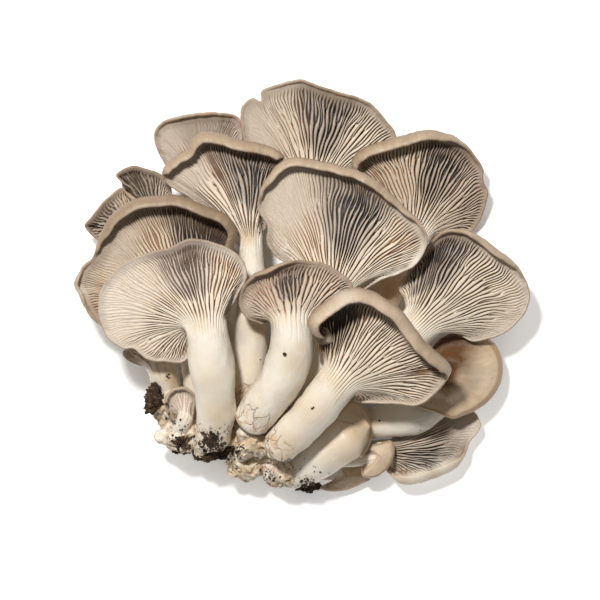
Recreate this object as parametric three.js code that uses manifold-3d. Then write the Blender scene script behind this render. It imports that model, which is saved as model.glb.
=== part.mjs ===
// Oyster mushroom cluster, cut from its substrate and lying on its back with the gills up.
// Millimetres, +Z up. The origin is on the supporting surface, under the middle of the cluster.
import * as THREE from 'three';
import { mergeVertices } from 'three/addons/utils/BufferGeometryUtils.js';
import Module from 'manifold-3d';

const wasm = await Module();
wasm.setup();

// Driving dimensions of every mushroom
const MARGIN_FLESH = 1.3;
const NECK_FLESH_SHARE = 0.55;
const BLADE_DEPTH = 2.4;
const THIN_CURL = 1.4;
const FULL_CURL = 4;
const LEAST_CURL = 0.4;
const OPEN_ROLL = THREE.MathUtils.degToRad(25);
const CLOSED_ROLL = THREE.MathUtils.degToRad(142);

// How finely a mushroom is faceted
const STEM_SIDES = 10;
const STEM_RINGS = 5;
const GILL_ROWS = [0, 0.15, 0.38, 0.64, 0.87];
const SKIN_ROWS = [0.84, 0.56, 0.26];

// The margin's section: turns of its roll, first up the inside of the curl, then down its outside
const MARGIN_SECTION = [[0.55, false], [1, false], [1, true], [0.5, true], [0, true]];
const BEARING_SAMPLES = 96;

// Between the two ends of the margin the rim goes on flush with the stem: shares of that stretch, and how
// far into it the margin has run out
const FLUSH_SHARES = [0.25, 0.5, 0.75];
const FLUSH_STEP = 1.2;
const RUN_OUT = 0.3;
const CURL_RUN_OUT = 0.12;
const RIM_SHARE = 0.45;
const SKIN_SHARE = 0.62;

// The rim's direction is evened out over this share of its length, to both sides.
const EVENING = 0.02;

// How strongly a gill keeps its direction at the neck and at the margin, as shares of its length
const LEAVING_PULL = 0.9;
const ARRIVING_PULL = 0.6;
const STRAIGHTENED = 0.5;

// Each mushroom has a stem, given by centres and radii from the foot to the neck, and a margin, given by
// points on the outer edge of the cap from one side of the neck round to the other. A point is x, y, z
// and the radius of the inrolled margin there. The slope is how steeply the stem dives into the cap, the
// rise is how steeply the gill side climbs to the margin, and the dish is how far it sags between them.
const MUSHROOMS = {
  mushroom_left_front: {
    gills: 22,
    slope: 0.25,
    rise: 0.3,
    dish: 1,
    stem: [[-36, -60, 33, 7.2], [-34.6, -47, 40, 8], [-36.5, -31, 46.5, 9], [-38.2, -15.5, 48.5, 8]],
    margin: [
      [-29.6, -10.5, 44, 1.4], [-27, -5.5, 45.5, 1.4], [-24, 0, 47, 1.4], [-22, 5, 48.5, 1.6],
      [-25, 12, 49.5, 1.7], [-31, 16, 50.5, 1.8], [-40, 18.6, 51, 1.8], [-46, 18.9, 51, 1.8],
      [-53, 15.6, 50.5, 1.7], [-62, 13.5, 49.5, 1.6], [-70, 10, 48.5, 1.6], [-76, 5, 47.5, 1.5],
      [-81, -3, 46.5, 1.5], [-81.2, -11, 45.5, 1.4], [-78, -20, 45, 1.4], [-72, -24.7, 44.5, 1.4],
      [-67.5, -24.6, 44.5, 1.4], [-62, -29, 43.5, 1.4], [-55, -29.8, 42, 1.4], [-48, -30, 38, 1.4],
      [-43, -24.5, 36.5, 1.2],
    ],
  },
  mushroom_left_behind: {
    gills: 22,
    slope: 0.25,
    rise: 0.35,
    dish: 1.5,
    stem: [[-40, -55, 14, 5.5], [-42.5, -35, 19.5, 6], [-46, -9, 25, 7.3]],
    margin: [
      [-36.5, -3.5, 25, 1.4], [-30, 7, 30, 2.5], [-26.4, 17, 32, 4.2], [-25.6, 23.3, 33, 4.6],
      [-30, 29.6, 34.5, 4.8], [-40, 34, 36.5, 4.8], [-50, 37.4, 37.5, 4.8], [-60, 37.3, 37.5, 4.8],
      [-70, 35, 36.5, 4.8], [-79, 27, 35, 4], [-83.6, 17, 33, 3], [-84.8, 11.6, 31.5, 1.8],
      [-88.6, 9, 31, 2.4], [-92.4, 2, 30, 3], [-90.6, -4, 29, 3], [-85.8, -12, 28, 2.4],
      [-81, -16, 27, 2], [-70, -20, 26, 2], [-58, -20, 21, 1.4],
    ],
  },
  mushroom_upper_left: {
    gills: 18,
    slope: 0.2,
    rise: 0.35,
    dish: 1,
    stem: [[-23, -53, 22.5, 5.6], [-21.5, -36, 26.5, 6.8], [-21, -14, 28, 6.6], [-20.5, 5, 26.5, 5.2],
      [-21, 19, 25, 4.8]],
    margin: [
      [-15, 25, 22, 1.4], [-14, 36, 23.5, 1.4], [-11.5, 46, 25.5, 1.8], [-6.8, 52.6, 28, 2.8],
      [-10, 55.8, 29, 4], [-18, 58.8, 30, 4.6], [-27, 60.4, 31, 4.8], [-35, 63, 31.5, 5],
      [-41.5, 63, 31.5, 5], [-45.7, 59.4, 31, 4.4], [-47, 56.2, 30, 4], [-52, 53.4, 29, 4],
      [-56.6, 48.4, 28, 3.6], [-57.2, 44.4, 27, 2.4], [-54, 41, 26, 1.6], [-46, 36, 24.5, 1.4],
      [-36, 29, 22.5, 1.4], [-28, 22.5, 20.5, 1.4],
    ],
  },
  mushroom_far_upper_left: {
    gills: 14,
    slope: 0.1,
    rise: 0.3,
    dish: 0,
    stem: [[-29, -50, 5.2, 4.2], [-31, -10, 4.1, 4], [-35, 28, 4.1, 4.2], [-38.5, 42, 5.4, 4.6]],
    margin: [
      [-31, 44, 4.4, 1.4], [-25.5, 53, 7.4, 1.4], [-24.4, 62, 10.4, 1.6], [-25.6, 68.6, 12.9, 2.2],
      [-31, 71, 14.4, 2.6], [-40, 71.3, 15.4, 2.8], [-50, 70, 14.9, 2.8], [-57, 67.4, 13.9, 2.6],
      [-60.4, 63, 12.9, 2.2], [-60, 58.6, 11.4, 1.8], [-57, 52, 8.4, 1.4], [-52, 45, 5.4, 1.4],
      [-46, 40, 2.4, 1.4],
    ],
  },
  mushroom_top: {
    gills: 22,
    slope: 0.15,
    rise: 0.35,
    dish: 1,
    stem: [[-13, -54, 5.8, 5], [-6, -22, 5.8, 5.4], [0, 14, 5.8, 5.8], [3.5, 40, 7.3, 6.4]],
    margin: [
      [13, 41, 2.8, 1.4], [26, 47, 4.8, 1.4], [35, 55, 8.8, 1.4], [37.6, 61.2, 12.3, 1.8],
      [33.4, 68, 16.3, 2.2], [28, 74.2, 19.8, 2.4], [20, 78, 21.8, 2.5], [12, 80, 22.8, 2.5],
      [5, 82.3, 23.3, 2.5], [-1, 84.3, 23.3, 2.5], [-10, 82.1, 22.8, 2.4], [-16.8, 79, 21.8, 1.8],
      [-17, 74.8, 20.8, 1.4], [-20.4, 76.3, 20.8, 1.8], [-24.8, 72.6, 19.8, 2], [-25.2, 65, 18.3, 2],
      [-23.5, 57, 14.8, 1.6], [-18, 48, 8.8, 1.4], [-9, 41, 2.8, 1.4],
    ],
  },
  mushroom_upper_right: {
    gills: 20,
    slope: 0.15,
    rise: 0.35,
    dish: 0.5,
    stem: [[3, -50, 5, 5], [17, -31, 5.8, 5.5], [33, -4, 8.4, 6.6], [41, 10, 8.3, 6.4],
      [46, 23, 8.2, 6.6]],
    margin: [
      [57, 18, 2.2, 1.4], [68.8, 23, 5.2, 1.4], [73, 30, 7.7, 1.6], [74.8, 38, 10.2, 1.6],
      [73, 43.6, 11.7, 1.6], [73.2, 47.4, 12.7, 1.8], [70.8, 53, 14.2, 2.6], [65, 59.2, 17.2, 3],
      [60, 62.3, 19.2, 3.4], [50, 64.3, 21.2, 4.4], [40, 62, 22.2, 4.8], [30, 59.2, 21.7, 4.8],
      [23.6, 56.6, 20.7, 4.6], [19.4, 52, 18.7, 3.8], [20, 44, 14.2, 2], [25.5, 34, 8.2, 1.4],
      [35, 24, 2.2, 1.4],
    ],
  },
  mushroom_middle: {
    gills: 24,
    slope: 0.25,
    rise: 0.3,
    dish: 1,
    stem: [[-11, -56, 25, 5.6], [-2, -46, 28, 6.2], [6, -33, 30.5, 6.6], [10.5, -16, 34, 7],
      [11, -2.5, 36.5, 7.6]],
    margin: [
      [22, -3, 31, 1.4], [28, 1, 34, 1.4], [32, 3.3, 36.5, 1.4], [38, 5.2, 38, 1.4],
      [44.4, 8.4, 40, 1.6], [48.6, 14, 41, 2], [50.3, 20, 42, 2.4], [47, 27, 42.5, 3],
      [40.4, 33, 43, 3.4], [34, 39.6, 43.5, 3.8], [25, 46.1, 44, 4], [15, 49.2, 44.5, 4],
      [5, 51.2, 45, 4], [-3, 52.5, 45, 4], [-9, 50.4, 45, 3.8], [-14.4, 45, 44.5, 3.6],
      [-17.8, 38.4, 43.5, 3], [-18, 30, 42, 1.8], [-14.5, 24.6, 40.5, 1.4], [-14.6, 18, 38.5, 1.4],
      [-11, 12.4, 36.5, 1.4], [-4.5, 8, 34, 1.4], [0.5, 2.5, 32, 1.4],
    ],
  },
  mushroom_front_middle: {
    gills: 20,
    slope: 0.25,
    rise: 0.25,
    dish: 0.5,
    stem: [[-20.5, -53, 37, 7.4], [-14, -44.5, 42, 8.5], [-7, -33, 47, 8.9], [-4.3, -21, 50, 8.6],
      [-4.8, -13.6, 51, 8]],
    margin: [
      [5.6, -12, 45, 1.4], [12, -8, 47.5, 1.4], [18.4, -4, 49.5, 1.4], [19.6, 1.2, 51, 1.5],
      [15.1, 5.4, 52.5, 1.7], [8.9, 9.1, 54, 1.8], [0.5, 10.7, 55, 2], [-6.3, 10.7, 55, 2.8],
      [-13.6, 8.6, 54, 3.2], [-20.3, 5.4, 52.5, 3], [-24, 1, 51.5, 2.4], [-25.4, -4, 50.5, 2],
      [-24.8, -8.8, 49, 1.6], [-21.8, -13, 47.5, 1.4], [-16.6, -14.8, 45, 1.4],
    ],
  },
  mushroom_front_right: {
    gills: 24,
    slope: 0.2,
    rise: 0.3,
    dish: 2,
    stem: [[-9.5, -64, 36, 7], [-1.5, -56, 40.5, 7.8], [6.5, -47, 44.5, 8.2], [14.5, -37, 47, 8.3]],
    margin: [
      [21, -45.6, 39, 1.4], [28.5, -46.4, 40.5, 1.4], [38, -46.8, 41.5, 1.4], [45.4, -47.3, 42.5, 1.4],
      [51, -44, 43.5, 1.6], [57.7, -37.3, 45, 2.2], [59.9, -32.4, 46.5, 3.6], [57.4, -28.2, 48, 5.4],
      [52.6, -24, 49.5, 6], [46.4, -17.9, 51.5, 6.2], [39.8, -8.6, 53.5, 6.2],
      [34.2, -4.5, 55, 6.4], [28.5, -1.1, 56, 6.6], [22.9, 0.6, 57, 6.8], [17.3, 0.3, 58, 7],
      [11.7, -2.2, 58.5, 7], [5, -7.4, 59, 6.8], [0.9, -12.5, 59, 6], [2.2, -17, 57.5, 4.6],
      [5.6, -19.6, 54, 2.6], [6.4, -25, 47.5, 1.4], [7.4, -31, 42, 1.4],
    ],
  },
  mushroom_right: {
    gills: 24,
    slope: 0.2,
    rise: 0.25,
    dish: 1,
    stem: [[12, -50, 13, 5], [20, -41, 14.5, 6.4], [33, -29, 20.5, 7.4], [47, -14.5, 27.5, 8.2]],
    margin: [
      [60.4, -18.4, 21.5, 1.4], [67.4, -21.6, 22.5, 1.4], [75, -20.8, 22.5, 1.4],
      [81.1, -18.6, 22.5, 1.4], [86.4, -14, 22.5, 1.4], [90, -8.9, 22.5, 1.4], [91.4, -3.6, 22.5, 1.4],
      [90.4, 1.5, 23, 1.8], [87.8, 7.5, 24.5, 2.8], [82.6, 13.1, 26.5, 3.4], [76.4, 17.4, 28.5, 3.6],
      [70, 22, 30, 3.4], [62.8, 24, 31, 3], [56.6, 23.4, 31.5, 2.8], [52, 20, 31, 2.4],
      [47.6, 13.6, 29.5, 1.6], [42, 6, 27, 1.4], [38.6, -0.5, 24.5, 1.4],
    ],
  },
  mushroom_lower_right: {
    gills: 18,
    gillsDown: true,
    marginGoesRound: true,
    slope: 0.1,
    rise: 0.6,
    dish: -1,
    crown: [64, -37, 24.5],
    stem: [[10, -57, 6, 4.4], [22, -56, 8.5, 5.4], [33, -54.3, 13, 6.7], [45, -52.4, 14, 6.8],
      [58, -44, 12.5, 6.2]],
    margin: [
      [46, -47.6, 22, 1.4], [46.4, -38, 20.5, 1.6], [50, -28, 18.5, 1.8], [56, -20.5, 16.5, 2],
      [64, -17.5, 15, 2.4], [72, -18.4, 14, 3], [78, -22, 13, 3.4], [81.4, -28.6, 12.5, 3.6],
      [81.8, -35.6, 12.5, 3.6], [79, -42.8, 13, 3.6], [73.6, -48.3, 14.5, 3.2], [66.4, -52, 17, 2.6],
      [60, -52.8, 20, 1.8], [53.4, -50.6, 22, 1.4],
    ],
  },
  mushroom_bottom_right: {
    gills: 16,
    slope: 0.15,
    rise: 0.3,
    dish: 0,
    stem: [[11, -66.5, 5.4, 3.8], [22, -66.6, 6.2, 4.3], [34.5, -66.5, 7.2, 4.8]],
    margin: [
      [33.8, -74, 6, 1.6], [36, -77.8, 7.5, 3], [40, -80.6, 8.5, 4], [45, -81, 9, 4.2],
      [50.5, -79.2, 9, 4.2], [56, -77.2, 9, 4.2], [62.8, -73.4, 9, 3.8], [66.6, -68.4, 9, 2.8],
      [67.8, -63.4, 9, 2], [70.4, -59.4, 9.4, 1.6], [72, -55.4, 9.6, 1.5], [69, -50.6, 8.6, 1.4],
      [62, -48.6, 6, 1.4], [53, -51.5, 3.5, 1.4], [44, -56, 2.8, 1.4], [37, -60, 2.4, 1.4],
    ],
  },
  mushroom_bottom: {
    gills: 10,
    gillsDown: true,
    slope: 0.05,
    rise: 0.2,
    dish: 0,
    crown: [26.4, -56, 25.5],
    stem: [[-6, -76, 14, 6.5], [2, -71, 18, 8.6], [10, -65.5, 22.5, 9.2], [17, -61, 25, 9]],
    margin: [
      [12, -52.5, 27.5, 0.8], [16, -48.5, 25, 1.2], [20, -45.6, 22, 1.4], [24.4, -48, 20, 1.4],
      [27.3, -52.6, 18.5, 1.4], [27.9, -58, 17.5, 1.4], [26.8, -63.5, 18, 1.4], [23.4, -68.6, 20, 1.2],
    ],
  },
  mushroom_bottom_small: {
    gills: 8,
    gillsDown: true,
    slope: 0.1,
    rise: 0.5,
    dish: 0,
    crown: [18, -76.5, 10],
    stem: [[4, -75, 5.5, 3.2], [9, -75, 5.8, 3.4], [14, -75, 5.6, 3.4]],
    margin: [
      [12, -71.4, 6.5, 1.4], [19, -71.2, 5.5, 1.4], [25, -72, 4.6, 1.4], [27.6, -74.6, 4.2, 1.5],
      [27.4, -77.6, 4, 1.6], [24.4, -79.6, 4, 1.8], [19.2, -82, 4.2, 1.8], [12.4, -83, 4.8, 1.8],
      [6.8, -81.4, 6.2, 1.4],
    ],
  },
  mushroom_bottom_tiny: {
    gills: 8,
    gillsDown: true,
    slope: 0,
    rise: 0.4,
    dish: 0,
    crown: [31.6, -68.4, 17],
    stem: [[13, -70.5, 11.5, 2.4], [20, -70.4, 12.4, 2.4], [27, -69.4, 13.4, 2.2]],
    margin: [
      [25.6, -64.6, 13.8, 1.2], [30.5, -63.4, 14.4, 1.4], [35.6, -62, 14.8, 1.4], [37, -65.6, 14.8, 1.4],
      [36, -70, 14.6, 1.4], [33.4, -74, 14.2, 1.4], [29, -76.8, 13.8, 1.4], [24.2, -76.4, 13.6, 1.4],
      [24, -72.4, 13.4, 1.2],
    ],
  },
  mushroom_far_left_lower: {
    gills: 8,
    slope: 0.1,
    rise: 0.3,
    dish: 0,
    stem: [[-52, -44, 9, 3], [-62, -4, 7, 3.2], [-70.5, 22, 10, 3.4]],
    margin: [
      [-65, 25, 9, 1.2], [-63.5, 33, 10.8, 1.4], [-67, 39, 13.2, 1.5], [-73, 40.4, 15, 1.8],
      [-77.3, 37.6, 15.8, 2], [-82.2, 33.2, 17, 2], [-86, 27.9, 16.2, 1.8], [-88.3, 25, 15.4, 1.4],
      [-85, 20.6, 13.4, 1.4], [-79, 17, 10, 1.2],
    ],
  },
  mushroom_far_left_upper: {
    gills: 8,
    slope: 0.1,
    rise: 0.3,
    dish: 0,
    stem: [[-45, -50, 6.5, 3], [-53, 4, 8, 3.2], [-59.5, 28, 13.5, 3.4]],
    margin: [
      [-54.4, 32, 14, 1.2], [-53, 38, 17, 1.5], [-54.5, 42.6, 19, 1.8], [-58, 46, 20.6, 1.8],
      [-62, 47.2, 21.6, 1.8], [-68, 49, 22.6, 1.8], [-72, 47.8, 22.8, 1.6], [-75.3, 45, 22.4, 1.4],
      [-73, 42.2, 21.8, 1.4], [-69.5, 39.4, 21, 1.4], [-66.4, 34.6, 18, 1.2],
    ],
  },
  mushroom_left_small: {
    gills: 8,
    slope: 0.2,
    rise: 0.2,
    dish: 0,
    stem: [[-52, -51, 17.5, 5], [-54.5, -42, 20.5, 5.4], [-57, -32.6, 26.5, 5.6]],
    margin: [
      [-50.5, -28, 26.5, 1.2], [-53, -24.4, 28.6, 1.4], [-59, -22.8, 29.8, 1.5], [-66, -23, 30.4, 1.5],
      [-72.4, -26.2, 30.4, 1.4], [-70, -29.8, 28.4, 1.4], [-65, -31.6, 25.6, 1.2],
    ],
  },
  mushroom_curled_button: {
    gills: 8,
    slope: 0.3,
    rise: 0.5,
    dish: 0.5,
    stem: [[-50, -59, 24.8, 3], [-48.4, -55.5, 28.8, 3.2], [-47, -52, 31.4, 3.2]],
    margin: [
      [-43.6, -50, 31.4, 1.6], [-42.4, -45, 33.2, 2], [-44.4, -41.2, 34.6, 2.4], [-49, -39.4, 35.6, 2.6],
      [-53.8, -41.2, 35.6, 2.6], [-56, -46, 34.8, 2.6], [-55, -51, 33.4, 2.2], [-51.6, -54, 31.4, 1.6],
    ],
  },
};

// The knotted base is a heap of lumps: middle and three radii of each
const BASE_LUMPS = [
  [-48, -59, 16.5, 9.5, 7.5, 13.5], [-36, -60, 21, 10, 7.5, 15], [-22, -62, 21, 9, 8, 15],
  [-22, -72, 13, 8, 6, 12], [-8, -72, 12, 11, 9, 13], [-38, -54, 6, 18, 8, 11],
  [-12, -58, 7, 16, 10, 12], [1, -64, 5, 10, 12, 8], [-54, -47, 17, 6.5, 8, 11],
  [-10, -63, 26, 9, 6, 11],
];
const LUMP_WAVE = 0.1;

// Crumbs of growing substrate that stick to the base
const CLODS = [
  { middle: [-59.5, -45, 27], spread: [2, 5, 5], crumbs: 9, crumb: 2.6, seed: 1 },
  { middle: [-49.5, -64, 24], spread: [3, 2, 4], crumbs: 8, crumb: 2, seed: 4 },
  { middle: [-37, -66.5, 22], spread: [5, 2, 5], crumbs: 9, crumb: 2.9, seed: 7 },
  { middle: [1.5, -79.5, 5.5], spread: [4.5, 2.5, 2], crumbs: 7, crumb: 2.4, seed: 11 },
];
const GOLDEN_ANGLE = Math.PI * (3 - Math.sqrt(5));

// How much wider than the piece itself its room in the base is
const GROWN = 0.5;

// Slivers thinner than this that a cut leaves are smoothed away.
const SLIVER = 0.08;

const smooth = THREE.MathUtils.smoothstep;
const mix = THREE.MathUtils.lerp;

// The lengths along a curve are measured finely, so that even steps come out even.
function curveThrough(points, closed) {
  const places = points.map(([x, y, z]) => new THREE.Vector3(x, y, z));
  const curve = new THREE.CatmullRomCurve3(places, closed, 'centripetal');
  curve.arcLengthDivisions = 400;
  return curve;
}

// The fourth number of the points, followed along the same curve
function valueAlong(points, closed, t) {
  const spans = closed ? points.length : points.length - 1;
  const place = Math.min(t * spans, spans - 1e-9);
  const before = Math.floor(place);
  const after = (before + 1) % points.length;
  return mix(points[before][3], points[after][3], smooth(place - before, 0, 1));
}

function vectorMix(a, b, amount) {
  return a.clone().lerp(b, amount);
}

function hermite(from, leaving, to, arriving, t) {
  const t2 = t * t;
  const t3 = t2 * t;
  return from.clone().multiplyScalar(2 * t3 - 3 * t2 + 1)
    .addScaledVector(leaving, t3 - 2 * t2 + t)
    .addScaledVector(to, 3 * t2 - 2 * t3)
    .addScaledVector(arriving, t3 - t2);
}

// A closed body as rings of points that are joined one after another, with a pole at each end
class RingBody {
  constructor() {
    this.points = [];
    this.faces = [];
    this.ring = null;
  }

  pole(point) {
    const index = this.points.push(point) - 1;
    if (this.ring) {
      const { start, count } = this.ring;
      for (let i = 0; i < count; i += 1) {
        this.faces.push([start + i, index, start + (i + 1) % count]);
      }
    }
    this.ring = { start: index, count: 1, params: [0] };
  }

  add(points, params) {
    const start = this.points.length;
    this.points.push(...points);
    const next = { start, count: points.length, params };
    this.join(this.ring, next);
    this.ring = next;
  }

  // Two rings with other counts are closed like a zipper, always at the side whose next point comes first.
  join(lower, upper) {
    if (lower.count === 1) {
      for (let i = 0; i < upper.count; i += 1) {
        this.faces.push([lower.start, upper.start + i, upper.start + (i + 1) % upper.count]);
      }
      return;
    }
    const param = (ring, i) => ring.params[i % ring.count] + Math.floor(i / ring.count);
    let low = 0;
    let high = 0;
    while (low < lower.count || high < upper.count) {
      const a = lower.start + (low % lower.count);
      const b = upper.start + (high % upper.count);
      const lowIsNext = param(lower, low + 1) < param(upper, high + 1) - 1e-9;
      if (high >= upper.count || (low < lower.count && lowIsNext)) {
        this.faces.push([a, b, lower.start + ((low + 1) % lower.count)]);
        low += 1;
      } else {
        this.faces.push([a, b, upper.start + ((high + 1) % upper.count)]);
        high += 1;
      }
    }
  }

  geometry(floor = 0) {
    const geometry = new THREE.BufferGeometry();
    const positions = this.points.flatMap((point) => [point.x, point.y, Math.max(point.z, floor)]);
    geometry.setAttribute('position', new THREE.Float32BufferAttribute(positions, 3));
    geometry.setIndex(this.faces.flat());
    return geometry;
  }
}

// The stem's centre line, its radii and the cross directions of its rings
class Stem {
  constructor({ stem, slope, gillsDown }) {
    this.points = stem;
    this.curve = curveThrough(stem, false);
    this.gillSide = new THREE.Vector3(0, 0, gillsDown ? -1 : 1);
    const end = this.curve.getTangent(1);
    this.forward = new THREE.Vector3(end.x, end.y, 0).normalize();
    this.forward.addScaledVector(this.gillSide, -slope).normalize();
    this.neck = this.frameAt(1, this.forward);
  }

  frameAt(u, direction) {
    const t = this.curve.getUtoTmapping(u);
    const along = direction ?? this.curve.getTangent(t);
    const up = this.gillSide.clone().addScaledVector(along, -along.dot(this.gillSide)).normalize();
    const side = new THREE.Vector3().crossVectors(up, along);
    const radius = valueAlong(this.points, false, t);
    return { centre: this.curve.getPoint(t), along, up, side, radius };
  }

  ringAt(u, angles, grown = 0) {
    const frame = u < 1 ? this.frameAt(u) : this.neck;
    return angles.map((angle) => ringPoint(frame, angle, frame.radius + grown));
  }

  footTip(grown = 0) {
    const { centre, along, radius } = this.frameAt(0);
    return centre.addScaledVector(along, -0.45 * radius - grown);
  }
}

function ringPoint({ centre, up, side }, angle, radius) {
  return centre.clone()
    .addScaledVector(up, radius * Math.cos(angle))
    .addScaledVector(side, radius * Math.sin(angle));
}

// The cap: where a place round the rim meets the neck, and the surface between them. A place on the rim
// is a share of its length, and its bearing is the angle round the neck that its gill starts from, where
// 0 is straight ahead of the stem.
class Cap {
  constructor(mushroom, stem) {
    this.stem = stem;
    this.mushroom = mushroom;
    this.rimPoints = this.closedRim(this.turnedRound(mushroom.margin));
    this.rim = curveThrough(this.rimPoints, true);
    this.bearings = this.bearingTable();
    this.crown = this.crownPoint();
  }

  // The margin runs counter-clockwise as seen from the gill side.
  turnedRound(points) {
    const area = points.reduce((sum, [x, y], i) => {
      const [nextX, nextY] = points[(i + 1) % points.length];
      return sum + x * nextY - nextX * y;
    }, 0);
    return area * this.stem.gillSide.z > 0 ? points : [...points].reverse();
  }

  bearingOf([x, y, z]) {
    const { centre, along, side } = this.stem.neck;
    const away = new THREE.Vector3(x, y, z).sub(centre);
    return Math.atan2(away.dot(side), away.dot(along));
  }

  // Where the margin stops at the stem, the rim goes on flush with the stem's far side. Every point gets
  // its bearing as a fifth number.
  closedRim(margin) {
    const rim = margin.map((point) => [...point, this.bearingOf(point)]);
    if (this.mushroom.marginGoesRound) {
      return rim;
    }
    const turn = 2 * Math.PI;
    const last = rim[rim.length - 1][4];
    const first = rim[0][4];
    const rest = ((first - last) % turn + turn) % turn;
    for (const share of FLUSH_SHARES) {
      const bearing = last + rest * share;
      const place = ringPoint(this.stem.neck, bearing, this.stem.neck.radius + LEAST_CURL);
      place.addScaledVector(this.stem.neck.along, FLUSH_STEP);
      rim.push([...place.toArray(), LEAST_CURL, bearing]);
    }
    return rim;
  }

  // How far the margin has run out into the stem at a place on the rim: 0 on the free margin, 1 where
  // stem and skin are one
  flushAt(t, runOut) {
    const free = this.mushroom.margin.length;
    const spans = this.rimPoints.length;
    if (spans === free) {
      return 0;
    }
    const share = (t * spans - (free - 1)) / (spans - free + 1);
    return smooth(share, 0, runOut) * smooth(1 - share, 0, runOut);
  }

  // The bearings, evened out and always growing
  bearingTable() {
    const raw = [];
    const turn = 2 * Math.PI;
    const count = this.rimPoints.length;
    for (let i = 0; i <= BEARING_SAMPLES; i += 1) {
      const place = this.rim.getUtoTmapping((i / BEARING_SAMPLES) % 1) * count;
      const before = this.rimPoints[Math.floor(place) % count][4];
      const step = this.rimPoints[(Math.floor(place) + 1) % count][4] - before;
      raw.push(before + (step - turn * Math.round(step / turn)) * (place % 1));
    }
    let steps = raw.slice(1).map((angle, i) => {
      const step = angle - raw[i];
      return Math.max(step - turn * Math.round(step / turn), 0.12 * turn / BEARING_SAMPLES);
    });
    for (let pass = 0; pass < 4; pass += 1) {
      const previous = steps;
      const last = previous.length;
      steps = previous.map((step, i) => (previous[(i + last - 1) % last] + 2 * step
        + previous[(i + 1) % last]) / 4);
    }
    const scale = turn / steps.reduce((sum, step) => sum + step, 0);
    const table = [0];
    steps.forEach((step, i) => table.push(table[i] + step * scale));
    const drift = raw.slice(0, -1).map((angle, i) => angle - table[i]);
    const east = drift.reduce((sum, angle) => sum + Math.cos(angle), 0);
    const north = drift.reduce((sum, angle) => sum + Math.sin(angle), 0);
    const shift = Math.atan2(north, east);
    return table.map((angle) => angle + shift);
  }

  bearingAt(u) {
    const place = u * BEARING_SAMPLES;
    const before = Math.min(Math.floor(place), BEARING_SAMPLES - 1);
    return mix(this.bearings[before], this.bearings[before + 1], place - before);
  }

  crownPoint() {
    const { centre, along, up, radius } = this.stem.neck;
    if (this.mushroom.crown) {
      return new THREE.Vector3(...this.mushroom.crown);
    }
    return centre.clone().addScaledVector(along, 1.2 * radius).addScaledVector(up, -radius);
  }

  rimAt(u) {
    return this.rim.getPoint(this.rim.getUtoTmapping((u + 1) % 1));
  }

  // All that is needed for the strip from the neck over the margin to the crown at one place u
  meridianAt(u) {
    const { neck, gillSide } = this.stem;
    const t = this.rim.getUtoTmapping(u);
    const edge = this.rim.getPoint(t);
    const curl = valueAlong(this.rimPoints, true, t) * (1 - this.flushAt(t, CURL_RUN_OUT));
    const bearing = this.bearingAt(u);
    const front = (1 + Math.cos(bearing)) / 2;
    const start = ringPoint(neck, bearing, neck.radius);
    const outFromNeck = start.clone().sub(neck.centre).normalize();
    const leaving = neck.along.clone().multiplyScalar(mix(0.25, 1, front))
      .addScaledVector(outFromNeck, 1 - front).normalize();
    const along = this.rimAt(u + EVENING).sub(this.rimAt(u - EVENING)).normalize();
    const away = edge.clone().sub(neck.centre).setZ(0).normalize();
    const out = new THREE.Vector3().crossVectors(along, gillSide).setZ(0).normalize();
    const level = vectorMix(out, away, 0.35 * smooth(front, 0.1, 0.4)).normalize();
    const climb = this.mushroom.rise * smooth(front, 0.05, 0.35);
    const outward = level.addScaledVector(gillSide, climb).normalize();
    const facing = new THREE.Vector3().crossVectors(outward, along).normalize();
    const flesh = Math.min(MARGIN_FLESH, 0.7 * curl);
    const roll = mix(OPEN_ROLL, CLOSED_ROLL, smooth(curl, THIN_CURL - 0.2, FULL_CURL));
    const reach = Math.min(curl * Math.sin(Math.min(roll, Math.PI / 2)) + 0.3 * flesh, 0.8 * curl + 1);
    const end = edge.clone().addScaledVector(outward, -reach);
    const length = end.distanceTo(start);
    const flush = this.flushAt(t, RUN_OUT);
    const straight = end.clone().sub(start).normalize();
    leaving.lerp(straight, STRAIGHTENED).normalize();
    const arriving = vectorMix(outward, straight, STRAIGHTENED).normalize();
    return { start, leaving, end, outward, arriving, facing, curl, flesh, roll, length, front, flush };
  }

  // The way from the neck to the crown where there is no margin
  flushPoint({ start }, share) {
    const { along, up } = this.stem.neck;
    const distance = start.distanceTo(this.crown);
    return hermite(start, along.clone().multiplyScalar(distance), this.crown,
      vectorMix(along, up.clone().negate(), 0.3).multiplyScalar(0.5 * distance), share);
  }

  gillPoint(meridian, s) {
    const { start, leaving, end, arriving, length, front } = meridian;
    const point = hermite(start, leaving.clone().multiplyScalar(LEAVING_PULL * length), end,
      arriving.clone().multiplyScalar(ARRIVING_PULL * length), s);
    const sag = this.mushroom.dish * front * Math.min(1, length / 25) * Math.sin(Math.PI * s) ** 2;
    return point.addScaledVector(this.stem.gillSide, -sag);
  }
}

function bladeDepth({ length }, s) {
  const room = Math.min(1, Math.max(0, length - 4) / 16);
  return BLADE_DEPTH * room * smooth(s, 0, 0.16) * (1 - smooth(s, 0.82, 1));
}

// Gills that stand close together are less deep.
function crowdedDepth(row, i, depth) {
  const spacing = row[(i + 1) % row.length].distanceTo(row[(i + row.length - 1) % row.length]) / 2;
  return Math.min(depth, 0.9 * spacing);
}

// The margin in section: up the inside of the curl, over the lip and back down the outside
function marginPoint({ end, outward, facing, curl, flesh }, angle, radiusFromCentre) {
  const inner = curl - flesh;
  return end.clone()
    .addScaledVector(facing, inner)
    .addScaledVector(outward, radiusFromCentre * Math.sin(angle))
    .addScaledVector(facing, -radiusFromCentre * Math.cos(angle));
}

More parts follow.
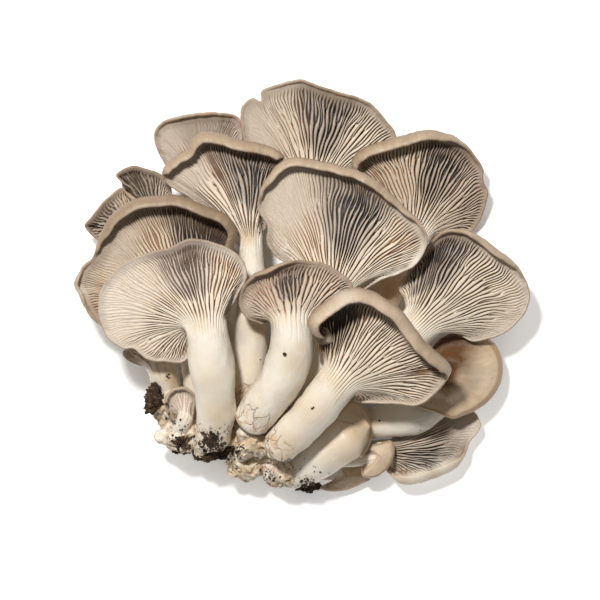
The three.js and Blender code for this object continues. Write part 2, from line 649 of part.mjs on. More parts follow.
function mushroomGeometry(mushroom) {
  const stem = new Stem(mushroom);
  const cap = new Cap(mushroom, stem);
  const body = new RingBody();
  const around = (count) => Array.from({ length: count }, (_, i) => i / count);

  // Stem
  const stemPlaces = around(STEM_SIDES);
  const stemAngles = stemPlaces.map((u) => cap.bearingAt(0) + 2 * Math.PI * u);
  body.pole(stem.footTip());
  for (let i = 0; i < STEM_RINGS; i += 1) {
    body.add(stem.ringAt(i / STEM_RINGS, stemAngles), stemPlaces);
  }

  // Gills: ridges and valleys in turn from the neck to the margin
  const places = around(2 * mushroom.gills);
  const strips = places.map((u) => cap.meridianAt(u));
  const angleShare = (u) => (cap.bearingAt(u) - cap.bearingAt(0)) / (2 * Math.PI);
  const rows = GILL_ROWS.map((s) => strips.map((strip) => cap.gillPoint(strip, s)));
  const facing = rows.map((row, j) => row.map((point, i) => {
    const last = row.length;
    const across = row[(i + 1) % last].clone().sub(row[(i + last - 1) % last]);
    const next = rows[Math.min(j + 1, rows.length - 1)][i];
    const previous = rows[Math.max(j - 1, 0)][i];
    const outward = next.clone().sub(previous);
    return vectorMix(outward.cross(across).normalize(), cap.stem.gillSide, 0.5).normalize();
  }));
  const settled = (strip, point, share) => vectorMix(point, cap.flushPoint(strip, share), strip.flush);
  rows.forEach((row, j) => {
    const ring = row.map((point, i) => {
      const depth = i % 2 ? crowdedDepth(row, i, bladeDepth(strips[i], GILL_ROWS[j])) : 0;
      const place = point.clone().addScaledVector(facing[j][i], -depth);
      return settled(strips[i], place, RIM_SHARE * GILL_ROWS[j]);
    });
    body.add(ring, j ? places : places.map(angleShare));
    body.ring.params = places;
  });

  // Margin, with half as many strips
  const half = strips.filter((_, i) => i % 2 === 0);
  const halfPlaces = places.filter((_, i) => i % 2 === 0);
  body.add(half.map((strip) => settled(strip, cap.gillPoint(strip, 1), RIM_SHARE)), halfPlaces);
  MARGIN_SECTION.forEach(([turn, outside], j) => {
    const share = mix(RIM_SHARE, SKIN_SHARE, (j + 1) / MARGIN_SECTION.length);
    const ring = half.map((strip) => {
      const radius = outside ? strip.curl : strip.curl - strip.flesh;
      return settled(strip, marginPoint(strip, turn * strip.roll, radius), share);
    });
    body.add(ring, halfPlaces);
  });

  // Skin, from the margin to the crown
  const towardsCrown = cap.crown.clone().sub(stem.neck.centre).normalize();
  SKIN_ROWS.forEach((s) => {
    const ring = half.map((strip, i) => {
      const edge = marginPoint(strip, 0, strip.curl);
      const toCrown = cap.crown.clone().sub(edge);
      const distance = toCrown.length();
      const arriving = toCrown.addScaledVector(towardsCrown, -toCrown.dot(towardsCrown)).normalize();
      const arch = hermite(edge, strip.outward.clone().multiplyScalar(-0.8 * distance), cap.crown,
        arriving.multiplyScalar(0.8 * distance), 1 - s);
      const thickness = mix(NECK_FLESH_SHARE * stem.neck.radius, strip.flesh, s) + bladeDepth(strip, s);
      const normal = facingAt(facing, 2 * i, s);
      const sheet = cap.gillPoint(strip, s).addScaledVector(normal, -thickness);
      const share = smooth(s, 0.08, 0.5) * smooth(strip.length, 5, 16);
      return settled(strip, vectorMix(arch, sheet, share), mix(1, SKIN_SHARE, s));
    });
    body.add(ring, halfPlaces);
  });
  body.pole(cap.crown);
  return body.geometry();
}

// The gill side's direction at a row between two rows of the gills
function facingAt(facing, i, s) {
  const after = Math.max(1, GILL_ROWS.findIndex((row) => row >= s));
  const share = (s - GILL_ROWS[after - 1]) / (GILL_ROWS[after] - GILL_ROWS[after - 1]);
  return vectorMix(facing[after - 1][i], facing[after][i], share).normalize();
}

// A knobbly lump: a sphere drawn out to three radii, with a wavy surface set by its seed
function lump([x, y, z, ...radii], seed, detail, grown = 0) {
  const geometry = mergeVertices(new THREE.IcosahedronGeometry(1, detail).deleteAttribute('normal')
    .deleteAttribute('uv'), 1e-4);
  const places = geometry.attributes.position;
  const point = new THREE.Vector3();
  for (let i = 0; i < places.count; i += 1) {
    point.fromBufferAttribute(places, i);
    const wave = Math.sin(4.1 * point.x + 1.7 * seed) * Math.sin(3.7 * point.y + 2.3 * seed)
      + Math.sin(5.3 * point.z + 0.9 * seed) * Math.sin(2.9 * point.x - 1.1 * seed);
    const swell = 1 + LUMP_WAVE * wave;
    places.setXYZ(i, x + point.x * (radii[0] * swell + grown), y + point.y * (radii[1] * swell + grown),
      z + point.z * (radii[2] * swell + grown));
  }
  return solidOf(geometry);
}

function solidOf(geometry) {
  const vertProperties = new Float32Array(geometry.attributes.position.array);
  const triVerts = new Uint32Array(geometry.index.array);
  return new wasm.Manifold(new wasm.Mesh({ numProp: 3, vertProperties, triVerts }));
}

function geometryOf(solid) {
  const { vertProperties, triVerts } = solid.getMesh();
  const geometry = new THREE.BufferGeometry();
  geometry.setAttribute('position', new THREE.Float32BufferAttribute(vertProperties, 3));
  geometry.setIndex(Array.from(triVerts));
  return geometry;
}

// Of a body that cuts have parted, the largest piece
function largestPiece(solid) {
  const pieces = solid.simplify(SLIVER).decompose();
  return pieces.reduce((best, piece) => (piece.volume() > best.volume() ? piece : best));
}

// The room a stem needs in the base: the stem itself, a little thicker
function sleeve(mushroom) {
  const stem = new Stem(mushroom);
  const body = new RingBody();
  const places = Array.from({ length: STEM_SIDES }, (_, i) => i / STEM_SIDES);
  const first = new Cap(mushroom, stem).bearingAt(0);
  const angles = places.map((u) => first + 2 * Math.PI * u);
  body.pole(stem.footTip(GROWN));
  for (let i = 0; i <= STEM_RINGS; i += 1) {
    body.add(stem.ringAt(i / STEM_RINGS, angles, GROWN), places);
  }
  body.pole(stem.neck.centre.addScaledVector(stem.neck.along, 2 * stem.neck.radius));
  return solidOf(body.geometry(-GROWN));
}

// Each clod is a heap of crumbs, set round its middle by the golden angle.
function clod({ middle, spread, crumbs, crumb, seed }, grown = 0) {
  const pieces = Array.from({ length: crumbs }, (_, i) => {
    const turn = GOLDEN_ANGLE * (i + seed);
    const out = Math.sqrt(i / crumbs);
    const size = crumb * (1 + 0.35 * Math.sin(7 * i + seed));
    const place = [
      middle[0] + spread[0] * out * Math.cos(turn),
      middle[1] + spread[1] * out * Math.sin(turn),
      middle[2] + spread[2] * Math.sin(2.4 * i + seed),
    ];
    return lump([...place, size, size * 0.9, size * 0.8], seed + i, 0, grown);
  });
  return wasm.Manifold.union(pieces);
}

const FLESH_MATERIAL = new THREE.MeshStandardMaterial({ color: 0xdccfbb, roughness: 0.7, metalness: 0 });

const MYCELIUM_MATERIAL = new THREE.MeshStandardMaterial({ color: 0xeae3d3, roughness: 0.9, metalness: 0 });
const SUBSTRATE_MATERIAL = new THREE.MeshStandardMaterial({ color: 0x3b2c20, roughness: 1, metalness: 0 });

const cluster = new THREE.Group();
function addPiece(name, geometry, material) {
  const mesh = new THREE.Mesh(geometry, material);
  mesh.name = name;
  cluster.add(mesh);
}

for (const [name, mushroom] of Object.entries(MUSHROOMS)) {
  addPiece(name, mushroomGeometry(mushroom), FLESH_MATERIAL);
}

// The base is cut clear of every stem and clod, and flat where it rests on the surface below.
const sleeves = wasm.Manifold.union(Object.values(MUSHROOMS).map(sleeve));
const lumps = BASE_LUMPS.map((place, i) => lump(place, i, 1));
const below = solidOf(mergeVertices(new THREE.BoxGeometry(400, 400, 100).translate(0, 0, -50)
  .deleteAttribute('normal').deleteAttribute('uv')));
const clodRoom = wasm.Manifold.union(CLODS.map((piece) => clod(piece, GROWN)));
const base = wasm.Manifold.union(lumps).subtract(sleeves).subtract(clodRoom).subtract(below);
addPiece('mycelium_base', geometryOf(largestPiece(base)), MYCELIUM_MATERIAL);

CLODS.forEach((piece, i) => {
  const solid = clod(piece).subtract(sleeves);
  addPiece(`substrate_clod_${i + 1}`, geometryOf(largestPiece(solid)), SUBSTRATE_MATERIAL);
});

export default cluster;
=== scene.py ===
"""Looks of an oyster mushroom cluster that lies on its back with the gills up.

Every mushroom is grown from the same driving sizes and by the same rule as its solid, only far finer: its
gills are thin blades, its margin rolls over a rounded lip, and its stem carries the gills down as fine
ridges. The base, the crumbs of substrate, the finishes, the light and the camera are made here too.
"""

import logging
import math
from dataclasses import dataclass, field
from typing import Callable, Optional, Sequence

import bpy
import numpy as np
from bpy.types import Material, Node, NodeSocket, NodeTree, Object
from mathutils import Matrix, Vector
from mathutils.bvhtree import BVHTree


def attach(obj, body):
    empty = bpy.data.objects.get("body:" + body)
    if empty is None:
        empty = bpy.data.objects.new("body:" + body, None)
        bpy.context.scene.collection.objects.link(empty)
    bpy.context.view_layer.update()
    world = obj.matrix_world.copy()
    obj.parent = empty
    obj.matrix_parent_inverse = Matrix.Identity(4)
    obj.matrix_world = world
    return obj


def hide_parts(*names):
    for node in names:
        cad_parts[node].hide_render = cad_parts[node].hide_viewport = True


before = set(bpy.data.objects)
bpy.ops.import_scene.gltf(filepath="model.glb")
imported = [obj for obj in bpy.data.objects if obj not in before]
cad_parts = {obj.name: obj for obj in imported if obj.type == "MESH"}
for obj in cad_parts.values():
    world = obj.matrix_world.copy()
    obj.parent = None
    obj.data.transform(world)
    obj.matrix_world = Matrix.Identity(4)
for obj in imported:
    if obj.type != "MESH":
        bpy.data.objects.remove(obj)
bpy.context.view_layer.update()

LOG = logging.getLogger("oyster_mushroom_cluster")
MM = 0.001
TINY = 1e-9
GOLDEN_ANGLE = math.pi * (3 - math.sqrt(5))
Colour = tuple[float, float, float]
Array = np.ndarray
PointMove = Callable[[Array, Array], Array]


# Small helpers for arrays of points


def smooth(value: Array | float, low: float, high: float) -> Array:
    """An even rise from 0 at low to 1 at high."""
    x = np.clip((np.asarray(value, float) - low) / (high - low), 0, 1)
    return x * x * (3 - 2 * x)


def mix(a: Array | float, b: Array | float, amount: Array | float) -> Array:
    """Goes from a to b as amount goes from 0 to 1."""
    return a + (b - a) * amount


def unit(vectors: Array) -> Array:
    """The same directions with length 1."""
    return vectors / np.maximum(np.linalg.norm(vectors, axis=-1, keepdims=True), TINY)


def column(values: Array) -> Array:
    """Numbers as a column, to scale rows of vectors by."""
    return np.asarray(values)[..., None]


def flat(vectors: Array) -> Array:
    """The same vectors without their height."""
    return vectors * np.array([1.0, 1.0, 0.0])


def around(
    centre: Array, up: Array, side: Array, angles: Array, radius: Array | float
) -> Array:
    """Points round a centre, at angles from its up direction."""
    return centre + column(np.cos(angles) * radius) * up + column(np.sin(angles) * radius) * side


def hermite(
    start: Array, leaving: Array, end: Array, arriving: Array, t: Array | float
) -> Array:
    """Points on curves that leave start and reach end in given directions.

    Args:
        start: Where the curves start.
        leaving: How they leave, as direction and strength.
        end: Where they end.
        arriving: How they arrive.
        t: How far along, from 0 to 1.

    Returns:
        One point for each curve.
    """
    t2 = t * t
    t3 = t2 * t
    return (
        (2 * t3 - 3 * t2 + 1) * start
        + (t3 - 2 * t2 + t) * leaving
        + (3 * t2 - 2 * t3) * end
        + (t3 - t2) * arriving
    )


WAVES_IN_A_LAYER = 4
WAVE_IN_BUMPS = 2.2
FINER_BY = 2.1


def waves(places: Array, seed: int, size: float, layers: int = 3) -> Array:
    """Smooth noise between about -1 and 1, made of a few crossing waves.

    Args:
        places: Points in millimetres.
        seed: Which noise.
        size: Size of the largest bumps in millimetres.
        layers: How many finer layers are laid over each other.

    Returns:
        One number for each point.
    """
    draw = np.random.default_rng(seed)
    total = np.zeros(places.shape[:-1])
    strength, step = 1.0, 2 * math.pi / (WAVE_IN_BUMPS * size)
    for _ in range(layers):
        for _ in range(WAVES_IN_A_LAYER):
            direction = draw.normal(size=3)
            direction *= step / np.linalg.norm(direction)
            other = draw.normal(size=3)
            other *= step / np.linalg.norm(other)
            turn, shift = draw.uniform(0, 2 * math.pi, 2)
            total += 0.5 * strength * np.sin(places @ direction + turn) * np.sin(places @ other + shift)
        strength *= 0.5
        step *= FINER_BY
    return total


class Curve:
    """A smooth curve through given points, walked in even steps."""

    DIVISIONS = 1200
    NUDGE = 1e-4

    def __init__(self, points: Sequence[Sequence[float]], closed: bool) -> None:
        """Keeps the points and measures the curve.

        Args:
            points: The points, each with x, y and z first.
            closed: Whether the curve runs back to its first point.
        """
        self.points = np.array([p[:3] for p in points], float)
        self.closed = closed
        ends = np.linspace(0, 1, self.DIVISIONS + 1)
        steps = np.linalg.norm(np.diff(self.at(ends), axis=0), axis=1)
        self.lengths = np.concatenate([[0], np.cumsum(steps)])
        self.length = float(self.lengths[-1])
        self.ends = ends

    def at(self, t: Array) -> Array:
        """Points of the curve.

        Args:
            t: Shares of the number of spans.

        Returns:
            One point for each share.
        """
        p = self.points
        spans = len(p) if self.closed else len(p) - 1
        place = np.clip(np.asarray(t, float) * spans, 0, spans - TINY)
        i = np.floor(place).astype(int)
        w = column(place - i)
        if self.closed:
            p0, p1, p2, p3 = (p[(i + k) % len(p)] for k in (-1, 0, 1, 2))
        else:
            q = np.vstack([2 * p[0] - p[1], p, 2 * p[-1] - p[-2]])
            p0, p1, p2, p3 = (q[i + k] for k in range(4))
        d0, d1, d2 = (np.sqrt(np.linalg.norm(b - a, axis=-1, keepdims=True)) + TINY
                      for a, b in ((p0, p1), (p1, p2), (p2, p3)))
        leave = ((p1 - p0) / d0 - (p2 - p0) / (d0 + d1) + (p2 - p1) / d1) * d1
        arrive = ((p2 - p1) / d1 - (p3 - p1) / (d1 + d2) + (p3 - p2) / d2) * d1
        return hermite(p1, leave, p2, arrive, w)

    def even(self, u: Array) -> Array:
        """Turns shares of the length into shares of the spans."""
        return np.interp(np.asarray(u) * self.length, self.lengths, self.ends)

    def tangent(self, t: Array) -> Array:
        """Directions of the curve."""
        after, before = np.asarray(t) + self.NUDGE, np.asarray(t) - self.NUDGE
        return unit(self.at(np.minimum(after, 1)) - self.at(np.maximum(before, 0)))


def value_along(values: Array, closed: bool, t: Array) -> Array:
    """A number of the control points, followed along their curve.

    Args:
        values: The number at each control point.
        closed: Whether the curve runs back to its first point.
        t: Shares of the number of spans.

    Returns:
        The number at each share.
    """
    spans = len(values) if closed else len(values) - 1
    place = np.clip(np.asarray(t) * spans, 0, spans - TINY)
    before = np.floor(place).astype(int)
    after = (before + 1) % len(values)
    return mix(values[before], values[after], smooth(place - before, 0, 1))


# Finishes


@dataclass(frozen=True)
class FleshFinish:
    """Colours of one mushroom: its gills, the gaps between them, its skin and its stem.

    The gaps are palest far from dark_towards and darkest towards it, where the grooves are also wider: this
    darkening, black at its core, is painted shade on the gaps that lie across the light, partly the gills'
    own darker tinge. The gap colours deepen with the grooves' depth, partly their own brown and partly
    painted shade. The zone colour is painted shade under the rolled rim, partly the gills' own grey tint,
    and the lip colour is the lip line's own darker colour with painted shade on the roll's outer edge.
    Towards calm_towards the gills are low and fine from calm_from of their length onwards.
    """

    ridge: Colour = (0.80, 0.69, 0.555)
    gap_pale: Colour = (0.28, 0.14, 0.054)
    gap: Colour = (0.13, 0.058, 0.022)
    black: Colour = (0.028, 0.022, 0.024)
    zone: Colour = (0.40, 0.335, 0.275)
    skin: Colour = (0.54, 0.42, 0.30)
    skin_dark: Colour = (0.42, 0.31, 0.21)
    lip: Colour = (0.26, 0.17, 0.10)
    stem: Colour = (0.87, 0.81, 0.70)
    # A real tan stain, and also the painted shade in the grooves on the stem.
    stain_and_groove_shade: Colour = (0.66, 0.47, 0.27)
    dirt: Colour = (0.06, 0.033, 0.016)
    dark_towards: tuple[float, float] = (0.0, 200.0)
    dark_spread: float = 38.0
    calm_towards: tuple[float, float] = (-200.0, 0.0)
    calm_spread: float = 1.0
    calm_from: float = 0.35
    pale_reach: float = 2.6
    zone_width: float = 0.1
    stain_amount: float = 0.4
    foot_dirt: float = 0.8
    seed: int = 0


PLAIN = FleshFinish()


@dataclass(frozen=True)
class Tint:
    """A place, seen from above, where the flesh is warmer, darker or paler than elsewhere.

    The warmth is a tan stain. The darkening is painted shade and cast shadow from the caps and stems
    above. The paling is partly the flesh's own paler colour and partly a painted highlight.
    """

    x: float
    y: float
    reach: float
    warm: float = 0.0
    painted_shade: float = 0.0
    pale: float = 0.0


@dataclass(frozen=True)
class Mushroom:
    """Driving sizes of one mushroom in millimetres.

    The stem has centres and radii from the foot to the neck. The margin has points on the outer edge of
    the cap from one side of the neck round to the other. The fourth number of a point is the radius of
    the inrolled margin, and a point without it has the plain radius.
    """

    name: str
    slope: float
    rise: float
    stem: tuple[tuple[float, ...], ...]
    margin: tuple[tuple[float, ...], ...]
    dish: float = 0.0
    gills_down: bool = False
    margin_goes_round: bool = False
    crown: Optional[tuple[float, float, float]] = None
    hump: float = 0.0
    gill_spacing: float = 1.5
    look: FleshFinish = PLAIN
    tints: tuple[Tint, ...] = ()


# Each mushroom's tints paint shade and cast shadow where its flesh is darkened, and partly painted highlights
# where it is paled; the warm ones are tan stains.
MUSHROOMS: tuple[Mushroom, ...] = (
    Mushroom(
        name="mushroom_left_front", slope=0.25, rise=0.3, dish=1, gill_spacing=1.25,
        stem=((-36, -60, 33, 7.2), (-34.6, -47, 40, 8), (-36.5, -31, 46.5, 9), (-38.2, -15.5, 48.5, 8)),
        margin=(
            (-29.6, -10.5, 44), (-27, -5.5, 45.5), (-24, 0, 47), (-22, 5, 48.5, 1.6), (-25, 12, 49.5, 1.7),
            (-31, 16, 50.5, 1.8), (-40, 18.6, 51, 1.8), (-46, 18.9, 51, 1.8), (-53, 15.6, 50.5, 1.7),
            (-62, 13.5, 49.5, 1.6), (-70, 10, 48.5, 1.6), (-76, 5, 47.5, 1.5), (-81, -3, 46.5, 1.5),
            (-81.2, -11, 45.5), (-78, -20, 45), (-72, -24.7, 44.5), (-67.5, -24.6, 44.5), (-62, -29, 43.5),
            (-55, -29.8, 42), (-48, -30, 38), (-43, -24.5, 36.5, 1.2),
        ),
        look=FleshFinish(
            seed=1, dark_towards=(-46, 10), dark_spread=24, black=(0.1, 0.06, 0.04), zone=(0.5, 0.43, 0.37),
            calm_towards=(-80, -6), calm_spread=45, calm_from=0.25,
        ),
        tints=(Tint(-33, -50, 7, warm=0.45), Tint(-38, -38, 6, warm=0.3)),
    ),
    Mushroom(
        name="mushroom_left_behind", slope=0.25, rise=0.35, dish=1.5, gill_spacing=1.25,
        stem=((-40, -55, 14, 5.5), (-42.5, -35, 19.5, 6), (-46, -9, 25, 7.3)),
        margin=(
            (-36.5, -3.5, 25), (-30, 7, 30, 2.5), (-26.4, 17, 32, 4.2), (-25.6, 23.3, 33, 4.6),
            (-30, 29.6, 34.5, 4.8), (-40, 34, 36.5, 4.8), (-50, 37.4, 37.5, 4.8), (-60, 37.3, 37.5, 4.8),
            (-70, 35, 36.5, 4.8), (-79, 27, 35, 4), (-83.6, 17, 33, 3), (-84.8, 11.6, 31.5, 1.8),
            (-88.6, 9, 31, 2.4), (-92.4, 2, 30, 3), (-90.6, -4, 29, 3), (-85.8, -12, 28, 2.4),
            (-81, -16, 27, 2), (-70, -20, 26, 2), (-58, -20, 21),
        ),
        look=FleshFinish(
            seed=2, dark_towards=(-39, 23), dark_spread=30, zone=(0.25, 0.195, 0.15), zone_width=0.18,
            calm_towards=(-72, 14), calm_spread=26, calm_from=0.4, skin=(0.4, 0.295, 0.2),
            skin_dark=(0.28, 0.195, 0.125),
        ),
        tints=(Tint(-80, 0, 10, warm=0.3), Tint(-87, 0, 5, pale=0.5), Tint(-38, 10, 9, painted_shade=0.3)),
    ),
    Mushroom(
        name="mushroom_upper_left", slope=0.2, rise=0.35, dish=1,
        stem=(
            (-23, -53, 22.5, 5.6), (-21.5, -36, 26.5, 6.8), (-21, -14, 28, 6.6), (-20.5, 5, 26.5, 5.2),
            (-21, 19, 25, 4.8),
        ),
        margin=(
            (-15, 25, 22), (-14, 36, 23.5), (-11.5, 46, 25.5, 1.8), (-6.8, 52.6, 28, 2.8), (-10, 55.8, 29, 4),
            (-18, 58.8, 30, 4.6), (-27, 60.4, 31, 4.8), (-35, 63, 31.5, 5), (-41.5, 63, 31.5, 5),
            (-45.7, 59.4, 31, 4.4), (-47, 56.2, 30, 4), (-52, 53.4, 29, 4), (-56.6, 48.4, 28, 3.6),
            (-57.2, 44.4, 27, 2.4), (-54, 41, 26, 1.6), (-46, 36, 24.5), (-36, 29, 22.5), (-28, 22.5, 20.5),
        ),
        look=FleshFinish(
            seed=3, dark_towards=(-21, 46), dark_spread=25, zone=(0.32, 0.26, 0.21), zone_width=0.15,
            gap_pale=(0.19, 0.115, 0.065), calm_towards=(-48, 46), calm_spread=20, calm_from=0.45,
        ),
        tints=(
            Tint(-17, -18, 3.5, warm=0.6), Tint(-25, -20, 6, painted_shade=0.25), Tint(-20, -33, 8, warm=0.4),
            Tint(-21, -44, 8, warm=0.6, painted_shade=0.2),
        ),
    ),
    Mushroom(
        name="mushroom_far_upper_left", slope=0.1, rise=0.3, gill_spacing=1.25,
        stem=((-29, -50, 5.2, 4.2), (-31, -10, 4.1, 4), (-35, 28, 4.1, 4.2), (-38.5, 42, 5.4, 4.6)),
        margin=(
            (-31, 44, 4.4), (-25.5, 53, 7.4), (-24.4, 62, 10.4, 1.6), (-25.6, 68.6, 12.9, 2.2),
            (-31, 71, 14.4, 2.6), (-40, 71.3, 15.4, 2.8), (-50, 70, 14.9, 2.8), (-57, 67.4, 13.9, 2.6),
            (-60.4, 63, 12.9, 2.2), (-60, 58.6, 11.4, 1.8), (-57, 52, 8.4), (-52, 45, 5.4), (-46, 40, 2.4),
        ),
        look=FleshFinish(
            seed=4, ridge=(0.66, 0.57, 0.48), dark_towards=(-40, 62), dark_spread=30, gap=(0.22, 0.15, 0.1),
            black=(0.1, 0.07, 0.05), calm_towards=(-60, 66), calm_spread=70, calm_from=0.3,
        ),
    ),
    Mushroom(
        name="mushroom_top", slope=0.15, rise=0.35, dish=1,
        stem=((-13, -54, 5.8, 5), (-6, -22, 5.8, 5.4), (0, 14, 5.8, 5.8), (3.5, 40, 7.3, 6.4)),
        margin=(
            (13, 41, 2.8), (26, 47, 4.8), (35, 55, 8.8), (37.6, 61.2, 12.3, 1.8), (33.4, 68, 16.3, 2.2),
            (28, 74.2, 19.8, 2.4), (20, 78, 21.8, 2.5), (12, 80, 22.8, 2.5), (5, 82.3, 23.3, 2.5),
            (-1, 84.3, 23.3, 2.5), (-10, 82.1, 22.8, 2.4), (-16.8, 79, 21.8, 1.8), (-17, 74.8, 20.8),
            (-20.4, 76.3, 20.8, 1.8), (-24.8, 72.6, 19.8, 2), (-25.2, 65, 18.3, 2), (-23.5, 57, 14.8, 1.6),
            (-18, 48, 8.8), (-9, 41, 2.8),
        ),
        look=FleshFinish(
            seed=5, dark_towards=(8, 63), dark_spread=20, gap_pale=(0.17, 0.09, 0.042),
            calm_towards=(-20, 62), calm_spread=34, calm_from=0.22,
        ),
    ),
    Mushroom(
        name="mushroom_upper_right", slope=0.15, rise=0.35, dish=0.5,
        stem=(
            (3, -50, 5, 5), (17, -31, 5.8, 5.5), (33, -4, 8.4, 6.6), (41, 10, 8.3, 6.4), (46, 23, 8.2, 6.6),
        ),
        margin=(
            (57, 18, 2.2), (68.8, 23, 5.2), (73, 30, 7.7, 1.6), (74.8, 38, 10.2, 1.6), (73, 43.6, 11.7, 1.6),
            (73.2, 47.4, 12.7, 1.8), (70.8, 53, 14.2, 2.6), (65, 59.2, 17.2, 3), (60, 62.3, 19.2, 3.4),
            (50, 64.3, 21.2, 4.4), (40, 62, 22.2, 4.8), (30, 59.2, 21.7, 4.8), (23.6, 56.6, 20.7, 4.6),
            (19.4, 52, 18.7, 3.8), (20, 44, 14.2, 2), (25.5, 34, 8.2), (35, 24, 2.2),
        ),
        look=FleshFinish(
            seed=6, ridge=(0.68, 0.57, 0.45), dark_towards=(56, 48), dark_spread=20,
            gap_pale=(0.24, 0.135, 0.062), gap=(0.12, 0.06, 0.03), zone=(0.38, 0.3, 0.23), zone_width=0.14,
        ),
        tints=(Tint(70, 34, 12, painted_shade=0.4), Tint(36, -2, 10, warm=1.0), Tint(30, -8, 6, painted_shade=0.35)),
    ),
    Mushroom(
        name="mushroom_middle", slope=0.25, rise=0.3, dish=1,
        stem=(
            (-11, -56, 25, 5.6), (-2, -46, 28, 6.2), (6, -33, 30.5, 6.6), (10.5, -16, 34, 7),
            (11, -2.5, 36.5, 7.6),
        ),
        margin=(
            (22, -3, 31), (28, 1, 34), (32, 3.3, 36.5), (38, 5.2, 38), (44.4, 8.4, 40, 1.6),
            (48.6, 14, 41, 2), (50.3, 20, 42, 2.4), (47, 27, 42.5, 3), (40.4, 33, 43, 3.4),
            (34, 39.6, 43.5, 3.8), (25, 46.1, 44, 4), (15, 49.2, 44.5, 4), (5, 51.2, 45, 4),
            (-3, 52.5, 45, 4), (-9, 50.4, 45, 3.8), (-14.4, 45, 44.5, 3.6), (-17.8, 38.4, 43.5, 3),
            (-18, 30, 42, 1.8), (-14.5, 24.6, 40.5), (-14.6, 18, 38.5), (-11, 12.4, 36.5), (-4.5, 8, 34),
            (0.5, 2.5, 32),
        ),
        look=FleshFinish(
            seed=7, dark_towards=(20, 36), dark_spread=24, calm_towards=(-6, 34), calm_spread=22,
            calm_from=0.3,
        ),
        tints=(
            Tint(45, 9.5, 4.5, pale=0.7), Tint(38, 5.5, 4, pale=0.7), Tint(31, 3, 3.5, pale=0.6),
            Tint(49, 14, 4, pale=0.5),
        ),
    ),
    Mushroom(
        name="mushroom_front_middle", slope=0.25, rise=0.25, dish=0.5,
        stem=(
            (-20.5, -53, 37, 7.4), (-14, -44.5, 42, 8.5), (-7, -33, 47, 8.9), (-4.3, -21, 50, 8.6),
            (-4.8, -13.6, 51, 8),
        ),
        margin=(
            (5.6, -12, 45), (12, -8, 47.5), (18.4, -4, 49.5), (19.6, 1.2, 51, 1.5), (15.1, 5.4, 52.5, 1.7),
            (8.9, 9.1, 54, 1.8), (0.5, 10.7, 55, 2), (-6.3, 10.7, 55, 2.8), (-13.6, 8.6, 54, 3.2),
            (-20.3, 5.4, 52.5, 3), (-24, 1, 51.5, 2.4), (-25.4, -4, 50.5, 2), (-24.8, -8.8, 49, 1.6),
            (-21.8, -13, 47.5), (-16.6, -14.8, 45),
        ),
        look=FleshFinish(
            seed=8, ridge=(0.64, 0.53, 0.42), dark_towards=(-5, 6), dark_spread=18,
            black=(0.05, 0.035, 0.028), zone=(0.36, 0.28, 0.21), zone_width=0.15, calm_towards=(-20, -8),
            calm_spread=32, calm_from=0.45, skin=(0.5, 0.385, 0.27),
        ),
        tints=(
            Tint(-18, 0, 9, painted_shade=0.25), Tint(-4, -30, 5, warm=0.5), Tint(-1, -24, 3, warm=0.4),
            Tint(-13.5, -15, 3, painted_shade=0.5), Tint(-20, -6, 8, painted_shade=0.15),
        ),
    ),
    Mushroom(
        name="mushroom_front_right", slope=0.2, rise=0.3, dish=2,
        stem=((-9.5, -64, 36, 7), (-1.5, -56, 40.5, 7.8), (6.5, -47, 44.5, 8.2), (14.5, -37, 47, 8.3)),
        margin=(
            (21, -45.6, 39), (28.5, -46.4, 40.5), (38, -46.8, 41.5), (45.4, -47.3, 42.5),
            (51, -44, 43.5, 1.6), (57.7, -37.3, 45, 2.2), (59.9, -32.4, 46.5, 3.6), (57.4, -28.2, 48, 5.4),
            (52.6, -24, 49.5, 6), (46.4, -17.9, 51.5, 6.2), (39.8, -8.6, 53.5, 6.2), (34.2, -4.5, 55, 6.4),
            (28.5, -1.1, 56, 6.6), (22.9, 0.6, 57, 6.8), (17.3, 0.3, 58, 7), (11.7, -2.2, 58.5, 7),
            (5, -7.4, 59, 6.8), (0.9, -12.5, 59, 6), (2.2, -17, 57.5, 4.6), (5.6, -19.6, 54, 2.6),
            (6.4, -25, 47.5), (7.4, -31, 42),
        ),
        look=FleshFinish(
            seed=9, dark_towards=(16, -17), dark_spread=22, gap_pale=(0.3, 0.165, 0.08),
            black=(0.05, 0.03, 0.02), zone=(0.36, 0.28, 0.21), skin=(0.66, 0.53, 0.39),
            skin_dark=(0.5, 0.375, 0.25),
        ),
        tints=(
            Tint(4, -45, 9, warm=0.35), Tint(-6, -62, 7, warm=0.5), Tint(47, -26, 9, painted_shade=0.3),
            Tint(52, -33, 6, painted_shade=0.3), Tint(14, -40, 6, warm=0.2), Tint(7, -24, 5, painted_shade=0.7),
            Tint(16, -3, 6, pale=0.3),
        ),
    ),
    Mushroom(
        name="mushroom_right", slope=0.2, rise=0.25, dish=1,
        stem=((12, -50, 13, 5), (20, -41, 14.5, 6.4), (33, -29, 20.5, 7.4), (47, -14.5, 27.5, 8.2)),
        margin=(
            (60.4, -18.4, 21.5), (67.4, -21.6, 22.5), (75, -20.8, 22.5), (81.1, -18.6, 22.5),
            (86.4, -14, 22.5), (90, -8.9, 22.5), (91.4, -3.6, 22.5), (90.4, 1.5, 23, 1.8),
            (87.8, 7.5, 24.5, 2.8), (82.6, 13.1, 26.5, 3.4), (76.4, 17.4, 28.5, 3.6), (70, 22, 30, 3.4),
            (62.8, 24, 31, 3), (56.6, 23.4, 31.5, 2.8), (52, 20, 31, 2.4), (47.6, 13.6, 29.5, 1.6),
            (42, 6, 27), (38.6, -0.5, 24.5),
        ),
        look=FleshFinish(
            seed=10, dark_towards=(55, 14), dark_spread=29, gap_pale=(0.18, 0.095, 0.045),
            calm_towards=(82, -20), calm_spread=36, calm_from=0.45,
        ),
        tints=(Tint(52, 8, 8, painted_shade=0.3),),
    ),
    Mushroom(
        name="mushroom_lower_right", slope=0.1, rise=0.6, dish=-1, gills_down=True, margin_goes_round=True,
